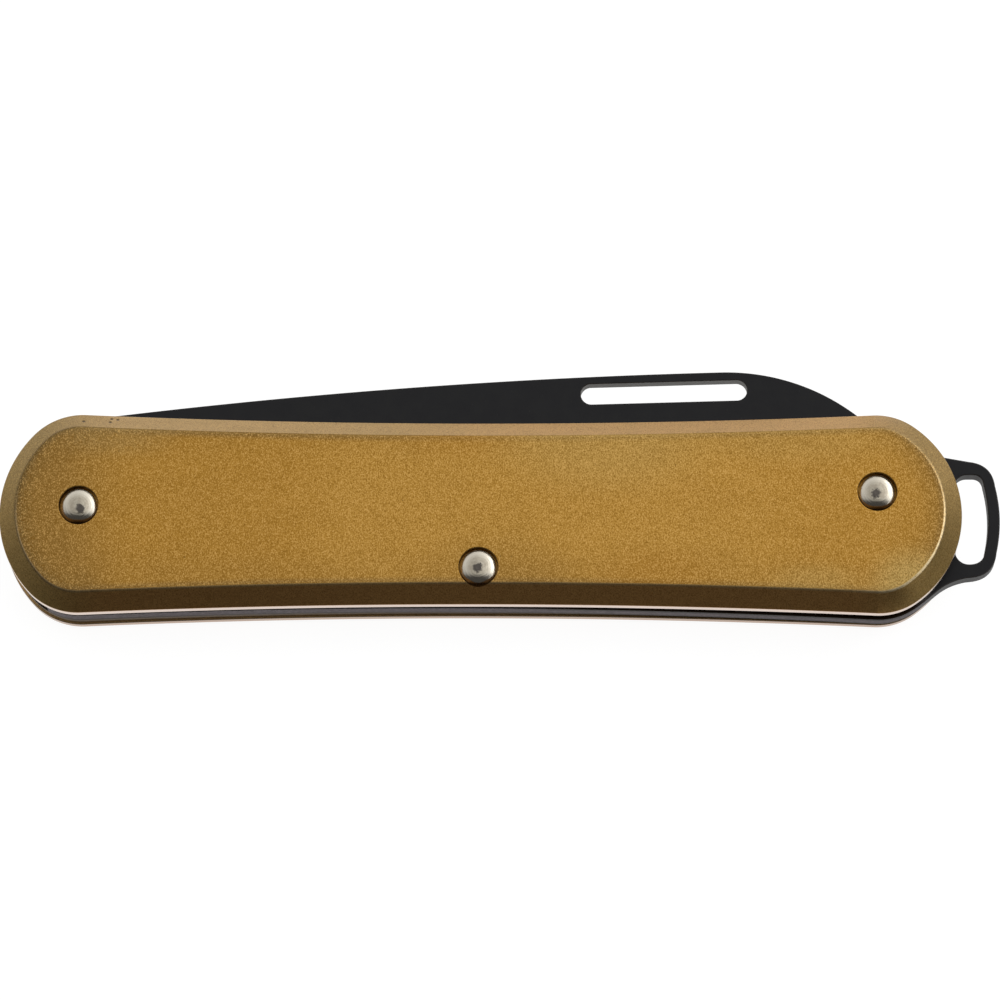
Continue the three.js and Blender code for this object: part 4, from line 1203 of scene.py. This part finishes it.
def table():
    """It lies a hair under the knife. To the camera it glows evenly, and in reflections less and
    less with the distance."""
    mesh = bpy.data.meshes.new("table")
    corners = [(-1, -1), (1, -1), (1, 1), (-1, 1)]
    mesh.from_pydata([(x * FLOOR_SIZE, y * FLOOR_SIZE, 0) for x, y in corners], [], [(0, 1, 2, 3)])
    made = bpy.data.objects.new("table", mesh)
    made.location.z = -FLOOR_DROP
    bpy.context.scene.collection.objects.link(made)
    f = new_finish("white_table")
    kinds = ("Is Camera Ray", "Is Glossy Ray", "Is Transmission Ray")
    seen, mirrored, passed = [f.node("ShaderNodeLightPath", {}, {}, out) for out in kinds]
    spot = f.node("ShaderNodeTexCoord", {}, {}, "Object")
    far = f.node("ShaderNodeVectorMath", {"operation": "LENGTH"}, {0: spot}, "Value")
    fading = 1 - FLOOR_FADING * f.ease(far, 0.08, 0.9)
    f.surface(
        Base_Color=FLOOR_GREY, Roughness=1.0, Specular_IOR_Level=0.0, Emission_Color=(1, 1, 1),
        Emission_Strength=(seen + (mirrored + passed) * fading) * FLOOR_GLOW,
    )
    mesh.materials.append(f.owner)
    return made


table()


# %% Ceiling and backdrop
HORIZON, OVERHEAD = 0.10, 1.0
SIDE_TILT, SIDE_RISE = 0.7, 1.3
BACK_RISE, BACK_DIP = 0.4, 0.5


def ceiling():
    """Bright overhead and behind, brighter towards the sides and most of all to the right, and dim
    in front. Height and depth of a direction are added, so the light ends along a slanted line.
    Low at the back it dips, and above that it rises."""
    world = bpy.data.worlds.new("studio")
    bpy.context.scene.world = world
    f = Finish(world)
    side, back, up = f.axes(f.node("ShaderNodeTexCoord", {}, {}, "Generated"))
    behind = f.ease(back, 0.35, 0.9) * (f.ease(up, 0.05, 0.4) * (BACK_RISE + BACK_DIP) - BACK_DIP)
    lit = f.ease(up + back, 0.35, 1.0) * (1 + behind)
    glow = HORIZON + OVERHEAD * lit * (1 + SIDE_TILT * side + SIDE_RISE * side * side)
    sky = next(n for n in f.tree.nodes if n.type == "BACKGROUND")
    f.join((1, 1, 1), sky.inputs["Color"])
    f.join(glow, sky.inputs["Strength"])


ceiling()


# %% Soft box
def soft_box(name, azimuth, elevation, distance, size, power):
    """A rectangular lamp that looks at the knife from a direction given in degrees."""
    a, e = np.radians([azimuth, elevation])
    way = Vector((np.cos(e) * np.cos(a), np.cos(e) * np.sin(a), np.sin(e)))
    lamp = bpy.data.lights.new(name, "AREA")
    lamp.shape = "RECTANGLE"
    lamp.size, lamp.size_y = size
    lamp.energy = power
    made = bpy.data.objects.new(name, lamp)
    made.location = way * distance
    made.rotation_mode = "QUATERNION"
    made.rotation_quaternion = way.to_track_quat("Z", "Y")
    made.visible_camera = False
    bpy.context.scene.collection.objects.link(made)


soft_box("right_box", 5, 36, 1.2, (2.0, 0.42), 4.0)

# %% Camera
IMAGE_SIZE, PIXEL = 1000, 0.11225
ELEVATION, AZIMUTH, ROLL = np.radians([74.0, 3.6, -3.42])
DISTANCE = 0.56
AIM = (2.25, 1.595, 8.0)


def camera():
    data = bpy.data.cameras.new("camera")
    data.sensor_width = 36
    data.lens = data.sensor_width * DISTANCE / (IMAGE_SIZE * PIXEL * MM)
    made = bpy.data.objects.new("camera", data)
    level = np.array([np.cos(AZIMUTH), np.sin(AZIMUTH), 0])
    front = np.array([np.sin(AZIMUTH), -np.cos(AZIMUTH), 0])
    back = np.cos(ELEVATION) * front + np.sin(ELEVATION) * np.array([0, 0, 1])
    upright = np.cross(back, level)
    right = np.cos(ROLL) * level + np.sin(ROLL) * upright
    up = np.cos(ROLL) * upright - np.sin(ROLL) * level
    made.location = (np.array(AIM) + back * DISTANCE / MM) * MM
    made.rotation_mode = "QUATERNION"
    made.rotation_quaternion = Matrix(np.column_stack([right, up, back]).tolist()).to_quaternion()
    bpy.context.scene.collection.objects.link(made)
    bpy.context.scene.camera = made
    print("lens in mm:", round(data.lens, 1))


camera()
bpy.context.scene.view_settings.view_transform = "Standard"
